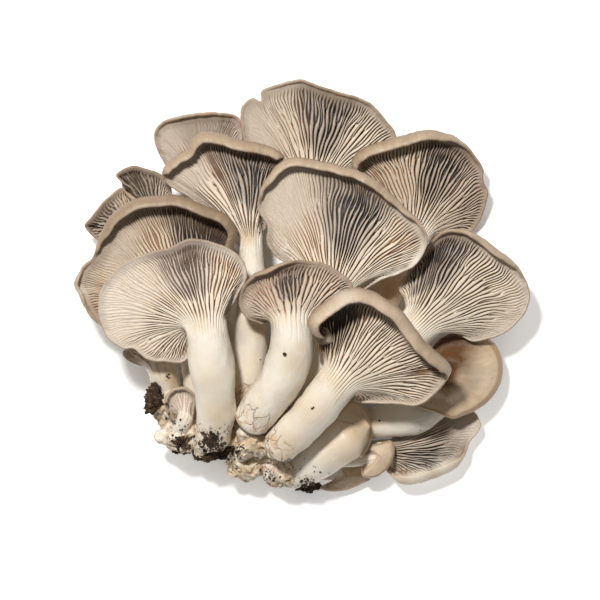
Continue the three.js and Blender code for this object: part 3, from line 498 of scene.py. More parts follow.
        crown=(55, -36, 18), hump=5.5,
        stem=(
            (10, -57, 6, 4.4), (22, -56, 8.5, 5.4), (33, -54.3, 13, 6.7), (45, -52.4, 14, 6.8),
            (58, -44, 12.5, 6.2),
        ),
        margin=(
            (46, -47.6, 22), (46.4, -38, 20.5, 1.6), (50, -28, 18.5, 1.8), (56, -20.5, 16.5, 2),
            (64, -17.5, 15, 2.4), (72, -18.4, 14, 3), (78, -22, 13, 3.4), (81.4, -28.6, 12.5, 3.6),
            (81.8, -35.6, 12.5, 3.6), (79, -42.8, 13, 3.6), (73.6, -48.3, 14.5, 3.2), (66.4, -52, 17, 2.6),
            (60, -52.8, 20, 1.8), (53.4, -50.6, 22),
        ),
        look=FleshFinish(
            seed=11, skin=(0.7, 0.54, 0.37), skin_dark=(0.55, 0.39, 0.24), lip=(0.36, 0.22, 0.115),
            pale_reach=1.4,
        ),
        tints=(
            Tint(58, -20, 10, painted_shade=2.2), Tint(60, -29, 7, painted_shade=1.6), Tint(57, -35, 7, painted_shade=1.4),
            Tint(33, -46, 6, warm=0.3), Tint(72, -36, 7, pale=0.3),
        ),
    ),
    Mushroom(
        name="mushroom_bottom_right", slope=0.15, rise=0.3,
        stem=((11, -66.5, 5.4, 3.8), (22, -66.6, 6.2, 4.3), (34.5, -66.5, 7.2, 4.8)),
        margin=(
            (33.8, -74, 6, 1.6), (36, -77.8, 7.5, 3), (40, -80.6, 8.5, 4), (45, -81, 9, 4.2),
            (50.5, -79.2, 9, 4.2), (56, -77.2, 9, 4.2), (62.8, -73.4, 9, 3.8), (66.6, -68.4, 9, 2.8),
            (67.8, -63.4, 9, 2), (70.4, -59.4, 9.4, 1.6), (72, -55.4, 9.6, 1.5), (69, -50.6, 8.6),
            (62, -48.6, 6), (53, -51.5, 3.5), (44, -56, 2.8), (37, -60, 2.4),
        ),
        look=FleshFinish(
            seed=12, ridge=(0.62, 0.53, 0.43), dark_towards=(46, -68), dark_spread=26, calm_towards=(72, -54),
            calm_spread=30, calm_from=0.45, skin=(0.74, 0.6, 0.44), lip=(0.36, 0.23, 0.13),
        ),
        tints=(
            Tint(47, -78, 6, pale=0.8), Tint(58, -74, 6, pale=0.7), Tint(70, -60, 6, pale=0.35),
            Tint(37, -66, 5, painted_shade=0.5),
        ),
    ),
    Mushroom(
        name="mushroom_bottom", slope=0.05, rise=0.2, gills_down=True, crown=(26.4, -56, 25.5),
        stem=((-6, -76, 14, 6.5), (2, -71, 18, 8.6), (10, -65.5, 22.5, 9.2), (17, -61, 25, 9)),
        margin=(
            (12, -52.5, 27.5, 0.8), (16, -48.5, 25, 1.2), (20, -45.6, 22), (24.4, -48, 20),
            (27.3, -52.6, 18.5), (27.9, -58, 17.5), (26.8, -63.5, 18), (23.4, -68.6, 20, 1.2),
        ),
        look=FleshFinish(
            seed=13, skin=(0.74, 0.6, 0.43), skin_dark=(0.6, 0.45, 0.29), lip=(0.4, 0.27, 0.15),
            pale_reach=1.2,
        ),
        tints=(
            Tint(1, -72, 9, pale=0.95), Tint(22, -54, 10, warm=0.7), Tint(16, -64, 7, warm=0.5),
            Tint(20, -70, 7, warm=0.5),
        ),
    ),
    Mushroom(
        name="mushroom_bottom_small", slope=0.1, rise=0.5, gills_down=True, crown=(18, -76.5, 10),
        stem=((4, -75, 5.5, 3.2), (9, -75, 5.8, 3.4), (14, -75, 5.6, 3.4)),
        margin=(
            (12, -71.4, 6.5), (19, -71.2, 5.5), (25, -72, 4.6), (27.6, -74.6, 4.2, 1.5),
            (27.4, -77.6, 4, 1.6), (24.4, -79.6, 4, 1.8), (19.2, -82, 4.2, 1.8), (12.4, -83, 4.8, 1.8),
            (6.8, -81.4, 6.2),
        ),
        look=FleshFinish(
            seed=14, skin=(0.6, 0.46, 0.32), skin_dark=(0.44, 0.31, 0.19), lip=(0.62, 0.49, 0.35),
            pale_reach=1.6,
        ),
    ),
    Mushroom(
        name="mushroom_bottom_tiny", slope=0, rise=0.4, gills_down=True, crown=(31.6, -68.4, 17),
        stem=((13, -70.5, 11.5, 2.4), (20, -70.4, 12.4, 2.4), (27, -69.4, 13.4, 2.2)),
        margin=(
            (25.6, -64.6, 13.8, 1.2), (30.5, -63.4, 14.4), (35.6, -62, 14.8), (37, -65.6, 14.8),
            (36, -70, 14.6), (33.4, -74, 14.2), (29, -76.8, 13.8), (24.2, -76.4, 13.6),
            (24, -72.4, 13.4, 1.2),
        ),
        look=FleshFinish(seed=15, skin=(0.66, 0.53, 0.39), skin_dark=(0.52, 0.39, 0.26), pale_reach=1.6),
    ),
    Mushroom(
        name="mushroom_far_left_lower", slope=0.1, rise=0.3,
        stem=((-52, -44, 9, 3), (-62, -4, 7, 3.2), (-70.5, 22, 10, 3.4)),
        margin=(
            (-65, 25, 9, 1.2), (-63.5, 33, 10.8), (-67, 39, 13.2, 1.5), (-73, 40.4, 15, 1.8),
            (-77.3, 37.6, 15.8, 2), (-82.2, 33.2, 17, 2), (-86, 27.9, 16.2, 1.8), (-88.3, 25, 15.4),
            (-85, 20.6, 13.4), (-79, 17, 10, 1.2),
        ),
        look=FleshFinish(
            seed=16, ridge=(0.56, 0.47, 0.38), gap_pale=(0.3, 0.22, 0.155), gap=(0.17, 0.12, 0.08),
            black=(0.1, 0.07, 0.05), dark_towards=(-75, 25), zone=(0.3, 0.24, 0.19),
        ),
    ),
    Mushroom(
        name="mushroom_far_left_upper", slope=0.1, rise=0.3,
        stem=((-45, -50, 6.5, 3), (-53, 4, 8, 3.2), (-59.5, 28, 13.5, 3.4)),
        margin=(
            (-54.4, 32, 14, 1.2), (-53, 38, 17, 1.5), (-54.5, 42.6, 19, 1.8), (-58, 46, 20.6, 1.8),
            (-62, 47.2, 21.6, 1.8), (-68, 49, 22.6, 1.8), (-72, 47.8, 22.8, 1.6), (-75.3, 45, 22.4),
            (-73, 42.2, 21.8), (-69.5, 39.4, 21), (-66.4, 34.6, 18, 1.2),
        ),
        look=FleshFinish(
            seed=17, ridge=(0.58, 0.49, 0.4), gap_pale=(0.3, 0.22, 0.155), gap=(0.17, 0.12, 0.08),
            black=(0.1, 0.07, 0.05), dark_towards=(-65, 38), zone=(0.3, 0.24, 0.19),
        ),
    ),
    Mushroom(
        name="mushroom_left_small", slope=0.2, rise=0.2,
        stem=((-52, -51, 17.5, 5), (-54.5, -42, 20.5, 5.4), (-57, -32.6, 26.5, 5.6)),
        margin=(
            (-50.5, -28, 26.5, 1.2), (-53, -24.4, 28.6), (-59, -22.8, 29.8, 1.5), (-66, -23, 30.4, 1.5),
            (-72.4, -26.2, 30.4), (-70, -29.8, 28.4), (-65, -31.6, 25.6, 1.2),
        ),
        look=FleshFinish(
            seed=18, gap_pale=(0.6, 0.47, 0.32), gap=(0.45, 0.32, 0.2), black=(0.3, 0.19, 0.11),
            stain_amount=0.7, foot_dirt=0.9,
        ),
        tints=(Tint(-50, -36, 3, warm=0.7), Tint(-54, -35, 3, warm=0.5)),
    ),
    Mushroom(
        name="mushroom_curled_button", slope=0.3, rise=0.5, dish=0.5,
        stem=((-50, -59, 24.8, 3), (-48.4, -55.5, 28.8, 3.2), (-47, -52, 31.4, 3.2)),
        margin=(
            (-43.6, -50, 31.4, 1.6), (-42.4, -45, 33.2, 2), (-44.4, -41.2, 34.6, 2.4),
            (-49, -39.4, 35.6, 2.6), (-53.8, -41.2, 35.6, 2.6), (-56, -46, 34.8, 2.6), (-55, -51, 33.4, 2.2),
            (-51.6, -54, 31.4, 1.6),
        ),
        look=FleshFinish(
            seed=19, ridge=(0.7, 0.6, 0.5), gap_pale=(0.52, 0.42, 0.33), gap=(0.36, 0.28, 0.21),
            black=(0.24, 0.18, 0.13), dark_towards=(-60, -55), zone=(0.38, 0.31, 0.25), stain_amount=0.6,
            foot_dirt=0.8,
        ),
    ),
)


class MeshParts:
    """Collects rings of points and the numbers that the finishes read, and joins the rings with faces."""

    CHANNELS = ("gap", "skin", "stem", "run", "shade", "tinge")

    def __init__(self) -> None:
        """Starts with no points."""
        self.points: list[Array] = []
        self.flow: list[Array] = []
        self.channels: dict[str, list[Array]] = {name: [] for name in self.CHANNELS}
        self.quads: list[Array] = []
        self.triangles: list[Array] = []
        self.count = 0

    def ring(self, points: Array, flow: Array, **values: Array | float) -> Array:
        """Adds one ring of points.

        Args:
            points: The points in millimetres.
            flow: For each point, the place that streaks along the growth are drawn by.
            values: Numbers for the finishes, by channel.

        Returns:
            The indices of the new points.
        """
        n = len(points)
        self.points.append(points)
        self.flow.append(flow)
        for name in self.CHANNELS:
            self.channels[name].append(np.broadcast_to(np.asarray(values.get(name, 0.0), float), (n,)))
        self.count += n
        return np.arange(self.count - n, self.count)

    def band(self, lower: Array, upper: Array) -> None:
        """Joins two rings that have as many points."""
        self.quads.append(np.stack([lower, upper, np.roll(upper, -1), np.roll(lower, -1)], axis=1))

    def fan(self, few: Array, many: Array, widening: bool) -> None:
        """Joins two rings of which one has some whole number of times as many points.

        Args:
            few: The ring with fewer points.
            many: The ring with more points.
            widening: Whether the ring with more points is the later one.
        """
        times = len(many) // len(few)
        half = times // 2
        following, after = np.roll(few, -1), np.roll(many, -1)
        corners = [(few if k < half else following, many[k::times], after[k::times]) for k in range(times)]
        corners.append((few, many[half::times], following))
        for first, second, third in corners:
            order = [first, second, third] if widening else [second, first, third]
            self.triangles.append(np.stack(order, axis=1))

    def close(self, ring: Array, tip: Array, at_start: bool) -> None:
        """Closes a ring with a single point.

        Args:
            ring: The ring.
            tip: The point.
            at_start: Whether the ring is the first of its piece.
        """
        following = np.roll(ring, -1)
        ends = np.full(len(ring), tip[0])
        order = [ends, ring, following] if at_start else [ring, ends, following]
        self.triangles.append(np.stack(order, axis=1))

    def build(self, name: str, tints: Sequence[Tint] = ()) -> Object:
        """Makes the object, with its numbers as attributes of the points.

        Args:
            name: The object's name.
            tints: Where the flesh has a tan stain, painted shade and paler colour, partly a painted
                highlight.

        Returns:
            The object.
        """
        points = np.concatenate(self.points)
        points[:, 2] = np.maximum(points[:, 2], 0)
        faces = [*np.concatenate(self.quads).tolist(), *np.concatenate(self.triangles).tolist()]
        mesh = bpy.data.meshes.new(name)
        mesh.from_pydata((points * MM).tolist(), [], faces)
        flow = mesh.attributes.new("flow", "FLOAT_VECTOR", "POINT")
        flow.data.foreach_set("vector", np.concatenate(self.flow).astype(np.float32).ravel())
        # Each point keeps the strongest tan stain, painted shade and paling, partly a painted highlight, of
        # the tints round it.
        strongest = np.zeros((len(points), 3))
        for tint in tints:
            away = np.hypot(points[:, 0] - tint.x, points[:, 1] - tint.y) / tint.reach
            strength = column(np.exp(-(away ** 2))) * np.array([tint.warm, tint.painted_shade, tint.pale])
            strongest = np.maximum(strongest, strength)
        tinted = mesh.attributes.new("tint", "FLOAT_VECTOR", "POINT")
        tinted.data.foreach_set("vector", strongest.astype(np.float32).ravel())
        for channel, rows in self.channels.items():
            layer = mesh.attributes.new(channel, "FLOAT", "POINT")
            layer.data.foreach_set("value", np.concatenate(rows).astype(np.float32))
        mesh.polygons.foreach_set("use_smooth", np.ones(len(mesh.polygons), bool))
        mesh.update()
        piece = bpy.data.objects.new(name, mesh)
        bpy.context.scene.collection.objects.link(piece)
        return piece


@dataclass
class Frames:
    """Places on a stem with their cross directions."""

    centre: Array
    along: Array
    up: Array
    side: Array
    radius: Array


class Stem:
    """The stem's centre line, its radii and the cross directions of its rings."""

    def __init__(self, mushroom: Mushroom) -> None:
        """Lays the centre line and the neck where the cap starts.

        Args:
            mushroom: The driving sizes.
        """
        self.curve = Curve(mushroom.stem, closed=False)
        self.radii = np.array([p[3] for p in mushroom.stem])
        self.gill_side = np.array([0.0, 0.0, -1.0 if mushroom.gills_down else 1.0])
        end = flat(self.curve.tangent(np.array([1.0])))[0]
        forward = unit(unit(end) - mushroom.slope * self.gill_side)
        self.neck = self.frames(np.array([1.0]), forward)

    def frames(self, u: Array, direction: Optional[Array] = None) -> Frames:
        """Frames at shares of the stem's length.

        Args:
            u: The shares, 0 at the foot.
            direction: Taken as the stem's direction, where it is given.

        Returns:
            The frames.
        """
        t = self.curve.even(u)
        along = self.curve.tangent(t)
        if direction is not None:
            along = np.broadcast_to(direction, along.shape)
        up = unit(self.gill_side - column(along @ self.gill_side) * along)
        side = np.cross(up, along)
        return Frames(self.curve.at(t), along, up, side, value_along(self.radii, False, t))


class Cap:
    """The cap: where places round the rim meet the neck, and the surface between them."""

    PLAIN_CURL = 1.4
    MARGIN_FLESH = 1.3
    MARGIN_FLESH_SHARE = 0.7
    NECK_FLESH_SHARE = 0.55
    THIN_CURL = 1.2
    FULL_CURL = 4.0
    LEAST_CURL = 0.4
    OPEN_ROLL = math.radians(25)
    CLOSED_ROLL = math.radians(150)
    FLUSH_SHARES = (0.25, 0.5, 0.75)
    FLUSH_STEP = 1.2
    RUN_OUT = 0.3
    CURL_RUN_OUT = 0.12
    RIM_SHARE = 0.45
    SKIN_SHARE = 0.62
    EVENING = 0.02
    LEAVING_PULL = 0.9
    ARRIVING_PULL = 0.6
    STRAIGHTENED = 0.5
    BEARING_SAMPLES = 96
    BEARING_EVENINGS = 4
    LEAST_BEARING_STEP = 0.12
    CROWN_AHEAD = 1.2
    WIDE_CAP = 25
    RUFFLE_SIZE = 9
    FRILL_SIZE = 5
    FRILL_SHARE = 0.3

    def __init__(self, mushroom: Mushroom, stem: Stem) -> None:
        """Closes the rim past the neck and shares the bearings out.

        Args:
            mushroom: The driving sizes.
            stem: The stem that carries the cap.
        """
        self.mushroom = mushroom
        self.stem = stem
        self.centre = stem.neck.centre[0]
        self.along = stem.neck.along[0]
        self.up = stem.neck.up[0]
        self.side = stem.neck.side[0]
        self.radius = float(stem.neck.radius[0])
        self.free = len(mushroom.margin)
        margin = [(*point, self.PLAIN_CURL)[:4] for point in mushroom.margin]
        self.rim_points = self._closed_rim(self._turned_round(margin))
        self.rim = Curve(self.rim_points, closed=True)
        self.curls = np.array([p[3] for p in self.rim_points])
        self.bearings = self._bearing_table()
        self.crown = np.array(mushroom.crown, float) if mushroom.crown else (
            self.centre + self.CROWN_AHEAD * self.radius * self.along - self.radius * self.up
        )

    def _turned_round(self, points: Sequence[tuple[float, ...]]) -> list[tuple[float, ...]]:
        """The margin, counter-clockwise as seen from the gill side.

        Args:
            points: The margin's points, in either sense.

        Returns:
            The same points in the right order.
        """
        following = [*points[1:], points[0]]
        area = sum(a[0] * b[1] - b[0] * a[1] for a, b in zip(points, following))
        return list(points) if area * self.stem.gill_side[2] > 0 else list(reversed(points))

    def _ring_point(self, bearing: Array, radius: Array | float) -> Array:
        """Points round the neck."""
        return around(self.centre, self.up, self.side, np.asarray(bearing), radius)

    def _closed_rim(self, margin: list[tuple[float, ...]]) -> list[tuple[float, ...]]:
        """The rim, which goes on flush with the stem's far side between the margin's ends.

        Args:
            margin: The margin's points with their curls.

        Returns:
            The rim's points with their curls and bearings.
        """
        rim = []
        for point in margin:
            away = np.array(point[:3]) - self.centre
            rim.append((*point, math.atan2(away @ self.side, away @ self.along)))
        if self.mushroom.margin_goes_round:
            return rim
        rest = (rim[0][4] - rim[-1][4]) % (2 * math.pi)
        last = rim[-1][4]
        for share in self.FLUSH_SHARES:
            bearing = last + rest * share
            place = self._ring_point(np.array(bearing), self.radius + self.LEAST_CURL)
            place = place + self.FLUSH_STEP * self.along
            rim.append((*place, self.LEAST_CURL, bearing))
        return rim

    def flush_at(self, t: Array, run_out: float) -> Array:
        """How far the margin has run out into the stem.

        Args:
            t: Places on the rim, as shares of its spans.
            run_out: The share of the flush stretch that the change takes.

        Returns:
            One number from 0 to 1 for each place.
        """
        spans = len(self.rim_points)
        if spans == self.free:
            return np.zeros_like(t)
        share = (t * spans - (self.free - 1)) / (spans - self.free + 1)
        return smooth(share, 0, run_out) * smooth(1 - share, 0, run_out)

    def _bearing_table(self) -> Array:
        """The bearings, evened out and always growing.

        Returns:
            The bearing at even steps round the rim.
        """
        turn = 2 * math.pi
        count = len(self.rim_points)
        bearings = np.array([p[4] for p in self.rim_points])
        u = (np.arange(self.BEARING_SAMPLES + 1) / self.BEARING_SAMPLES) % 1
        place = self.rim.even(u) * count
        i = np.floor(place).astype(int) % count
        step = bearings[(i + 1) % count] - bearings[i]
        raw = bearings[i] + (step - turn * np.round(step / turn)) * (place % 1)
        steps = np.diff(raw)
        least = self.LEAST_BEARING_STEP * turn / self.BEARING_SAMPLES
        steps = np.maximum(steps - turn * np.round(steps / turn), least)
        for _ in range(self.BEARING_EVENINGS):
            steps = (np.roll(steps, 1) + 2 * steps + np.roll(steps, -1)) / 4
        table = np.concatenate([[0], np.cumsum(steps * turn / steps.sum())])
        drift = raw[:-1] - table[:-1]
        return table + math.atan2(np.sin(drift).sum(), np.cos(drift).sum())

    def bearing_at(self, u: Array) -> Array:
        """The bearings that belong to places on the rim."""
        whole = np.floor(u)
        ends = np.arange(self.BEARING_SAMPLES + 1)
        return np.interp((u - whole) * self.BEARING_SAMPLES, ends, self.bearings) + 2 * math.pi * whole

    def lay_out(self, u: Array, ruffle: float, seed: int) -> None:
        """Works out all that the surface needs at places round the rim.

        Args:
            u: The places, as shares of the rim.
            ruffle: How far the margin waves up and down, in millimetres.
            seed: Which waves.
        """
        self.u = u
        t = self.rim.even(u % 1)
        edge = self.rim.at(t)
        self.curl = value_along(self.curls, True, t) * (1 - self.flush_at(t, self.CURL_RUN_OUT))
        self.flush = self.flush_at(t, self.RUN_OUT)
        self.bearing = self.bearing_at(u)
        self.front = (1 + np.cos(self.bearing)) / 2
        self.start = self._ring_point(self.bearing, self.radius)
        out_from_neck = unit(self.start - self.centre)
        leaving = unit(
            column(mix(0.25, 1, self.front)) * self.along + column(1 - self.front) * out_from_neck
        )
        ahead = self.rim.at(self.rim.even((u + self.EVENING) % 1))
        behind = self.rim.at(self.rim.even((u - self.EVENING) % 1))
        tangent = unit(ahead - behind)
        away = unit(flat(edge - self.centre))
        out = unit(flat(np.cross(tangent, self.stem.gill_side)))
        level = unit(mix(out, away, column(0.35 * smooth(self.front, 0.1, 0.4))))
        climb = self.mushroom.rise * smooth(self.front, 0.05, 0.35)
        self.outward = unit(level + column(climb) * self.stem.gill_side)
        self.facing = unit(np.cross(self.outward, tangent))
        free = 1 - self.flush
        ring = column(self.rim.length / (2 * math.pi) * np.ones_like(u)) * np.stack(
            [np.cos(2 * math.pi * u), np.sin(2 * math.pi * u), 0 * u], axis=-1)
        edge = edge + column(ruffle * free * waves(ring, seed, self.RUFFLE_SIZE)) * self.facing
        frill = self.FRILL_SHARE * ruffle * free * waves(ring, seed + 1, self.FRILL_SIZE)
        edge = edge + column(frill) * self.outward
        self.flesh = np.minimum(self.MARGIN_FLESH, self.MARGIN_FLESH_SHARE * self.curl)
        rolled = smooth(self.curl, self.THIN_CURL, self.FULL_CURL)
        self.roll = mix(self.OPEN_ROLL, self.CLOSED_ROLL, rolled)
        reach = self.curl * np.sin(np.minimum(self.roll, math.pi / 2)) + 0.3 * self.flesh
        self.end = edge - column(np.minimum(reach, 0.8 * self.curl + 1)) * self.outward
        self.length = np.linalg.norm(self.end - self.start, axis=-1)
        straight = unit(self.end - self.start)
        self.leaving = unit(mix(leaving, straight, self.STRAIGHTENED))
        self.arriving = unit(mix(self.outward, straight, self.STRAIGHTENED))
        self.ring = ring

    def gill_point(self, s: float) -> Array:
        """The gills' edges along one row.

        Args:
            s: The row's share of the way from the neck to the margin.

        Returns:
            One point for each column.
        """
        point = hermite(
            self.start,
            column(self.LEAVING_PULL * self.length) * self.leaving,
            self.end,
            column(self.ARRIVING_PULL * self.length) * self.arriving,
            s,
        )
        sag = self.mushroom.dish * self.front * np.minimum(1, self.length / self.WIDE_CAP)
        return point - column(sag * math.sin(math.pi * s) ** 2) * self.stem.gill_side

    def flush_point(self, share: float) -> Array:
        """The way from the neck to the crown where there is no margin.

        Args:
            share: How far along it.

        Returns:
            One point for each column.
        """
        distance = np.linalg.norm(self.start - self.crown, axis=-1)
        arriving = mix(self.along, -self.up, 0.3)
        leaving = column(distance) * self.along
        return hermite(self.start, leaving, self.crown, column(0.5 * distance) * arriving, share)

    def settled(self, points: Array, share: float) -> Array:
        """Points of the free cap, led over to the flush way where the margin has run out."""
        return mix(points, self.flush_point(share), column(self.flush))

    def margin_point(self, angle: Array, radius: Array) -> Array:
        """Points on the margin's section.

        Args:
            angle: How far each column has rolled, from the gill side's foot of the curl.
            radius: How far each point lies from the curl's middle.

        Returns:
            One point for each column.
        """
        return (
            self.end
            + column(self.curl - self.flesh) * self.facing
            + column(radius * np.sin(angle)) * self.outward
            - column(radius * np.cos(angle)) * self.facing
        )


class Blades:
    """How the gills of one cap stand: which run all the way, where the short ones start, how they waver."""

    PER_FULL = 8
    RISE = 0.2
    NEIGHBOURS = range(-4, 5)
    LEAST_STANDING = 0.02
    EDGE_SHARE = 0.12
    STARTS = (-1.0, 0.5, 0.16, 0.58, -1.0, 0.46, 0.24, 0.62)

    def __init__(self, count: int, seed: int) -> None:
        """Draws the blades.

        Args:
            count: Number of blades at the margin, a multiple of 8.
            seed: Which draw.
        """
        draw = np.random.default_rng(seed)
        kind = np.arange(count) % self.PER_FULL
        first = np.array(self.STARTS)[kind]
        self.first = first + np.where(first < 0, 0, draw.uniform(-0.07, 0.07, count))
        self.height = 1 - draw.uniform(0, 0.2, count) * (first > 0)
        self.tail = draw.uniform(0.15, 0.8, count)
        self.swing = draw.uniform(0.05, 0.2, count)
        self.pace = draw.uniform(1.5, 4.0, count)
        self.turn = draw.uniform(0, 2 * math.pi, count)
        self.fray = draw.uniform(2.0, 6.0, count)
        self.count = count

    def presence(self, s: float) -> Array:
        """How high each blade stands at a share of the way to the margin."""
        rise = np.where(self.first < 0, 1.0, smooth(s - self.first, 0, self.RISE))
        return rise * self.height * (1 - 0.09 * (1 + np.sin(self.turn + 2 * math.pi * self.fray * s)))

    def on_stem(self, share: float) -> Array:
        """How high each blade stands on the stem, from 1 at the neck to 0 where its tail ends."""
        return np.where(self.first < 0, smooth(share - self.tail, 0, 1 - self.tail), 0.0)

    def drift(self, s: float) -> Array:
        """How far each blade wavers to the side, as a share of its slot."""
        return self.swing * np.sin(2 * math.pi * self.pace * s + self.turn)

    def lowness(self, standing: Array, offsets: Array, groove: Array) -> Array:
        """How far below the gills' edges each column lies, from 0 on an edge to 1 in a groove.

        A groove runs where two blades are equally near, and a blade that only starts is counted as far.

        Args:
            standing: How high each blade stands.
            offsets: The columns of one slot, in slots from its blade.
            groove: The grooves' width, in slots, for each blade.

        Returns:
            One number for each column.
        """
        near = [np.roll(standing, -shift) for shift in self.NEIGHBOURS]
        scores = np.stack([np.abs(offsets - shift) / np.maximum(height, self.LEAST_STANDING)[:, None]
                           for shift, height in zip(self.NEIGHBOURS, near)])
        nearest = np.partition(scores, 1, axis=0)[:2]
        low = 1 - smooth((nearest[1] - nearest[0]) / groove[:, None], self.EDGE_SHARE, 1.0)
        return (low * np.max(near, axis=0)[:, None]).ravel()


@dataclass
class FruitBody:
    """Grows one mushroom's mesh: foot, stem, gills, margin and skin."""

    mushroom: Mushroom
    seed: int
    gill_depth: float = 3.1
    blade_share: float = 0.16
    neck_groove: float = 0.6
    margin_groove: float = 1.0
    dark_widening: float = 0.5
    stem_length_step: float = 1.6
    ruffle: float = 0.55
    calm_ruffle: float = 0.3
    finer_skin: float = 1.8
    gill_rows: int = 40
    tail_rows: int = 12
    tail_length: float = 15.0
    tail_depth: float = 0.2
    tail_gap: float = 0.55
    calmed: float = 0.8
    calm_shade: float = 0.55
    evened: int = 10
    widest_grooves: tuple[float, float] = (0.72, 3.6)
    foot_shares: tuple[float, ...] = (0.15, 0.34, 0.53, 0.71, 0.88)
    foot_bulge: float = 0.6
    curl_inside: tuple[float, ...] = (0.14, 0.3, 0.46, 0.62, 0.78, 0.92)
    curl_lip: tuple[float, ...] = (0.0, 0.25, 0.5, 0.75, 1.0)
    curl_outside: tuple[float, ...] = (0.9, 0.78, 0.64, 0.5, 0.36, 0.24, 0.12, 0.0)
    skin_shares: tuple[float, ...] = (
        0.95, 0.89, 0.83, 0.76, 0.69, 0.61, 0.53, 0.45, 0.37, 0.29, 0.21, 0.14, 0.07,
    )
    parts: MeshParts = field(default_factory=MeshParts)

    def build(self) -> Object:
        """Grows the whole mushroom.

        Returns:
            The finished object, named after its solid with _body added.
        """
        mushroom = self.mushroom
        self.stem = Stem(mushroom)
        self.cap = Cap(mushroom, self.stem)
        eights = int(round(self.cap.rim.length / mushroom.gill_spacing / Blades.PER_FULL))
        slots = max(32, eights * Blades.PER_FULL)
        self.blades = Blades(slots, self.seed)
        self.offsets = np.array([-self.blade_share, self.blade_share, 0.5])
        self.per_slot = len(self.offsets)
        columns = (np.repeat(np.arange(slots), self.per_slot) + np.tile(self.offsets, slots)) / slots
        self.slot_of = np.repeat(np.arange(slots), self.per_slot)
        ruffle = self.ruffle * (self.calm_ruffle if mushroom.gills_down else 1)
        self.cap.lay_out(columns, ruffle, 100 + 7 * self.seed)
        look = mushroom.look
        # Where the gaps get their painted shade, towards the side where they lie across the light, partly the
        # gills' own darker tinge.
        self.tinge = self._nearness(look.dark_towards, look.dark_spread)
        self.calm = self._nearness(look.calm_towards, look.calm_spread)
        self.shares = np.linspace(0, 1, self.gill_rows + 1)
        self.tail_from = max(0.45, 1 - self.tail_length / self.stem.curve.length)
        self._even_surface()
        foot = self._stem_rings()
        rim = self._gill_rings(foot)
        back = self._margin_rings(rim)
        self._skin_rings(back)
        return self.parts.build(mushroom.name + "_body", mushroom.tints)

    def _nearness(self, towards: tuple[float, float], spread: float) -> Array:
        """How near each column runs to a direction, from 0 to 1.

        Args:
            towards: A point that lies in that direction.
            spread: How many degrees away the nearness has fallen to about a third.

        Returns:
            One number for each column.
        """
        way = self.cap.end - self.cap.start
        aim = np.array(towards) - self.cap.centre[:2]
        turn = np.arctan2(way[:, 1], way[:, 0]) - math.atan2(aim[1], aim[0])
        turn = np.degrees(np.arctan2(np.sin(turn), np.cos(turn)))
        return np.exp(-((turn / spread) ** 2))

    def _even_surface(self) -> None:
        """Lays the surface that the gills stand on, from the stem to the margin, with its neck rounded."""
        cap, stem = self.cap, self.stem
        tails = np.linspace(self.tail_from, 1, self.tail_rows)
        rows = []
        for u in tails:
            frames = stem.frames(np.array([u])) if u < 1 else stem.neck
            rows.append(around(frames.centre[0], frames.up[0], frames.side[0], cap.bearing, frames.radius[0]))
        for s in self.shares[1:]:
            rows.append(cap.settled(cap.gill_point(s), cap.RIM_SHARE * s))
        even = np.array(rows)
        on_stem = smooth(np.linspace(0, 1, self.tail_rows), 0.1, 0.6)
        weight = np.concatenate([on_stem, 1 - smooth(self.shares[1:], 0.12, 0.4)])[:, None, None]
        weight[0] = 0
        for _ in range(self.evened):
            calm = even.copy()
            calm[1:-1] = (even[:-2] + 2 * even[1:-1] + even[2:]) / 4
            even = even + weight * (calm - even)
        self.tails = tails
        self.surface = even
        step_s = np.gradient(even, axis=0)
        step_u = np.roll(even, -self.per_slot, axis=1) - np.roll(even, self.per_slot, axis=1)
        facing = unit(np.cross(step_s, step_u))
        width = max(4, len(cap.u) // 40)
        kernel = np.ones(2 * width + 1) / (2 * width + 1)
        wrapped = np.concatenate([facing[:, -width:], facing, facing[:, :width]], axis=1)
        axes = [np.apply_along_axis(np.convolve, 1, wrapped[..., k], kernel, "valid") for k in range(3)]
        facing = np.stack(axes, axis=-1)
        lean = np.concatenate([np.zeros(self.tail_rows), 0.5 * smooth(self.shares[1:], 0, 0.25)])
        self.facing = unit(mix(unit(facing), stem.gill_side, lean[:, None, None]))

    def _flow(self, s: float, stretch: float = 0.22) -> Array:
        """Where streaks are drawn: round the rim, and slowly along the growth."""
        ring = self.cap.ring * mix(0.55, 1.0, s)
        return ring + np.array([0.0, 0.0, 1.0]) * column(s * self.cap.length * stretch)

    def _stem_rings(self) -> Array:
        """The foot and the stem up to where the gills' tails begin.

        Returns:
            The stem's last ring.
        """
        cap, stem, parts = self.cap, self.stem, self.parts
        length = stem.curve.length
        coarse = cap.bearing[0::self.per_slot]
        foot = stem.frames(np.array([0.0]))
        base_radius = float(foot.radius[0])
        tip = foot.centre[0] - self.foot_bulge * base_radius * foot.along[0]
        before = parts.ring(tip[None], np.zeros((1, 3)), stem=1.0, run=0.0)
        for k, share in enumerate(self.foot_shares):
            angle = share * math.pi / 2
            sunk = self.foot_bulge * base_radius * math.cos(angle)
            centre = foot.centre[0] - sunk * foot.along[0]
            points = around(centre, foot.up[0], foot.side[0], coarse, base_radius * math.sin(angle))
            ring = self._stem_ring(points, sunk, 0.0)
            if k:
                parts.band(before, ring)
            else:
                parts.close(ring, before, at_start=True)
            before = ring
        rings = max(6, int(self.tail_from * length / self.stem_length_step))
        for u in np.linspace(0, self.tail_from, rings)[:-1]:
            frames = stem.frames(np.array([u]))
            points = around(frames.centre[0], frames.up[0], frames.side[0], coarse, frames.radius[0])
            ring = self._stem_ring(points, 0.0, u)
            parts.band(before, ring)
            before = ring
        return before

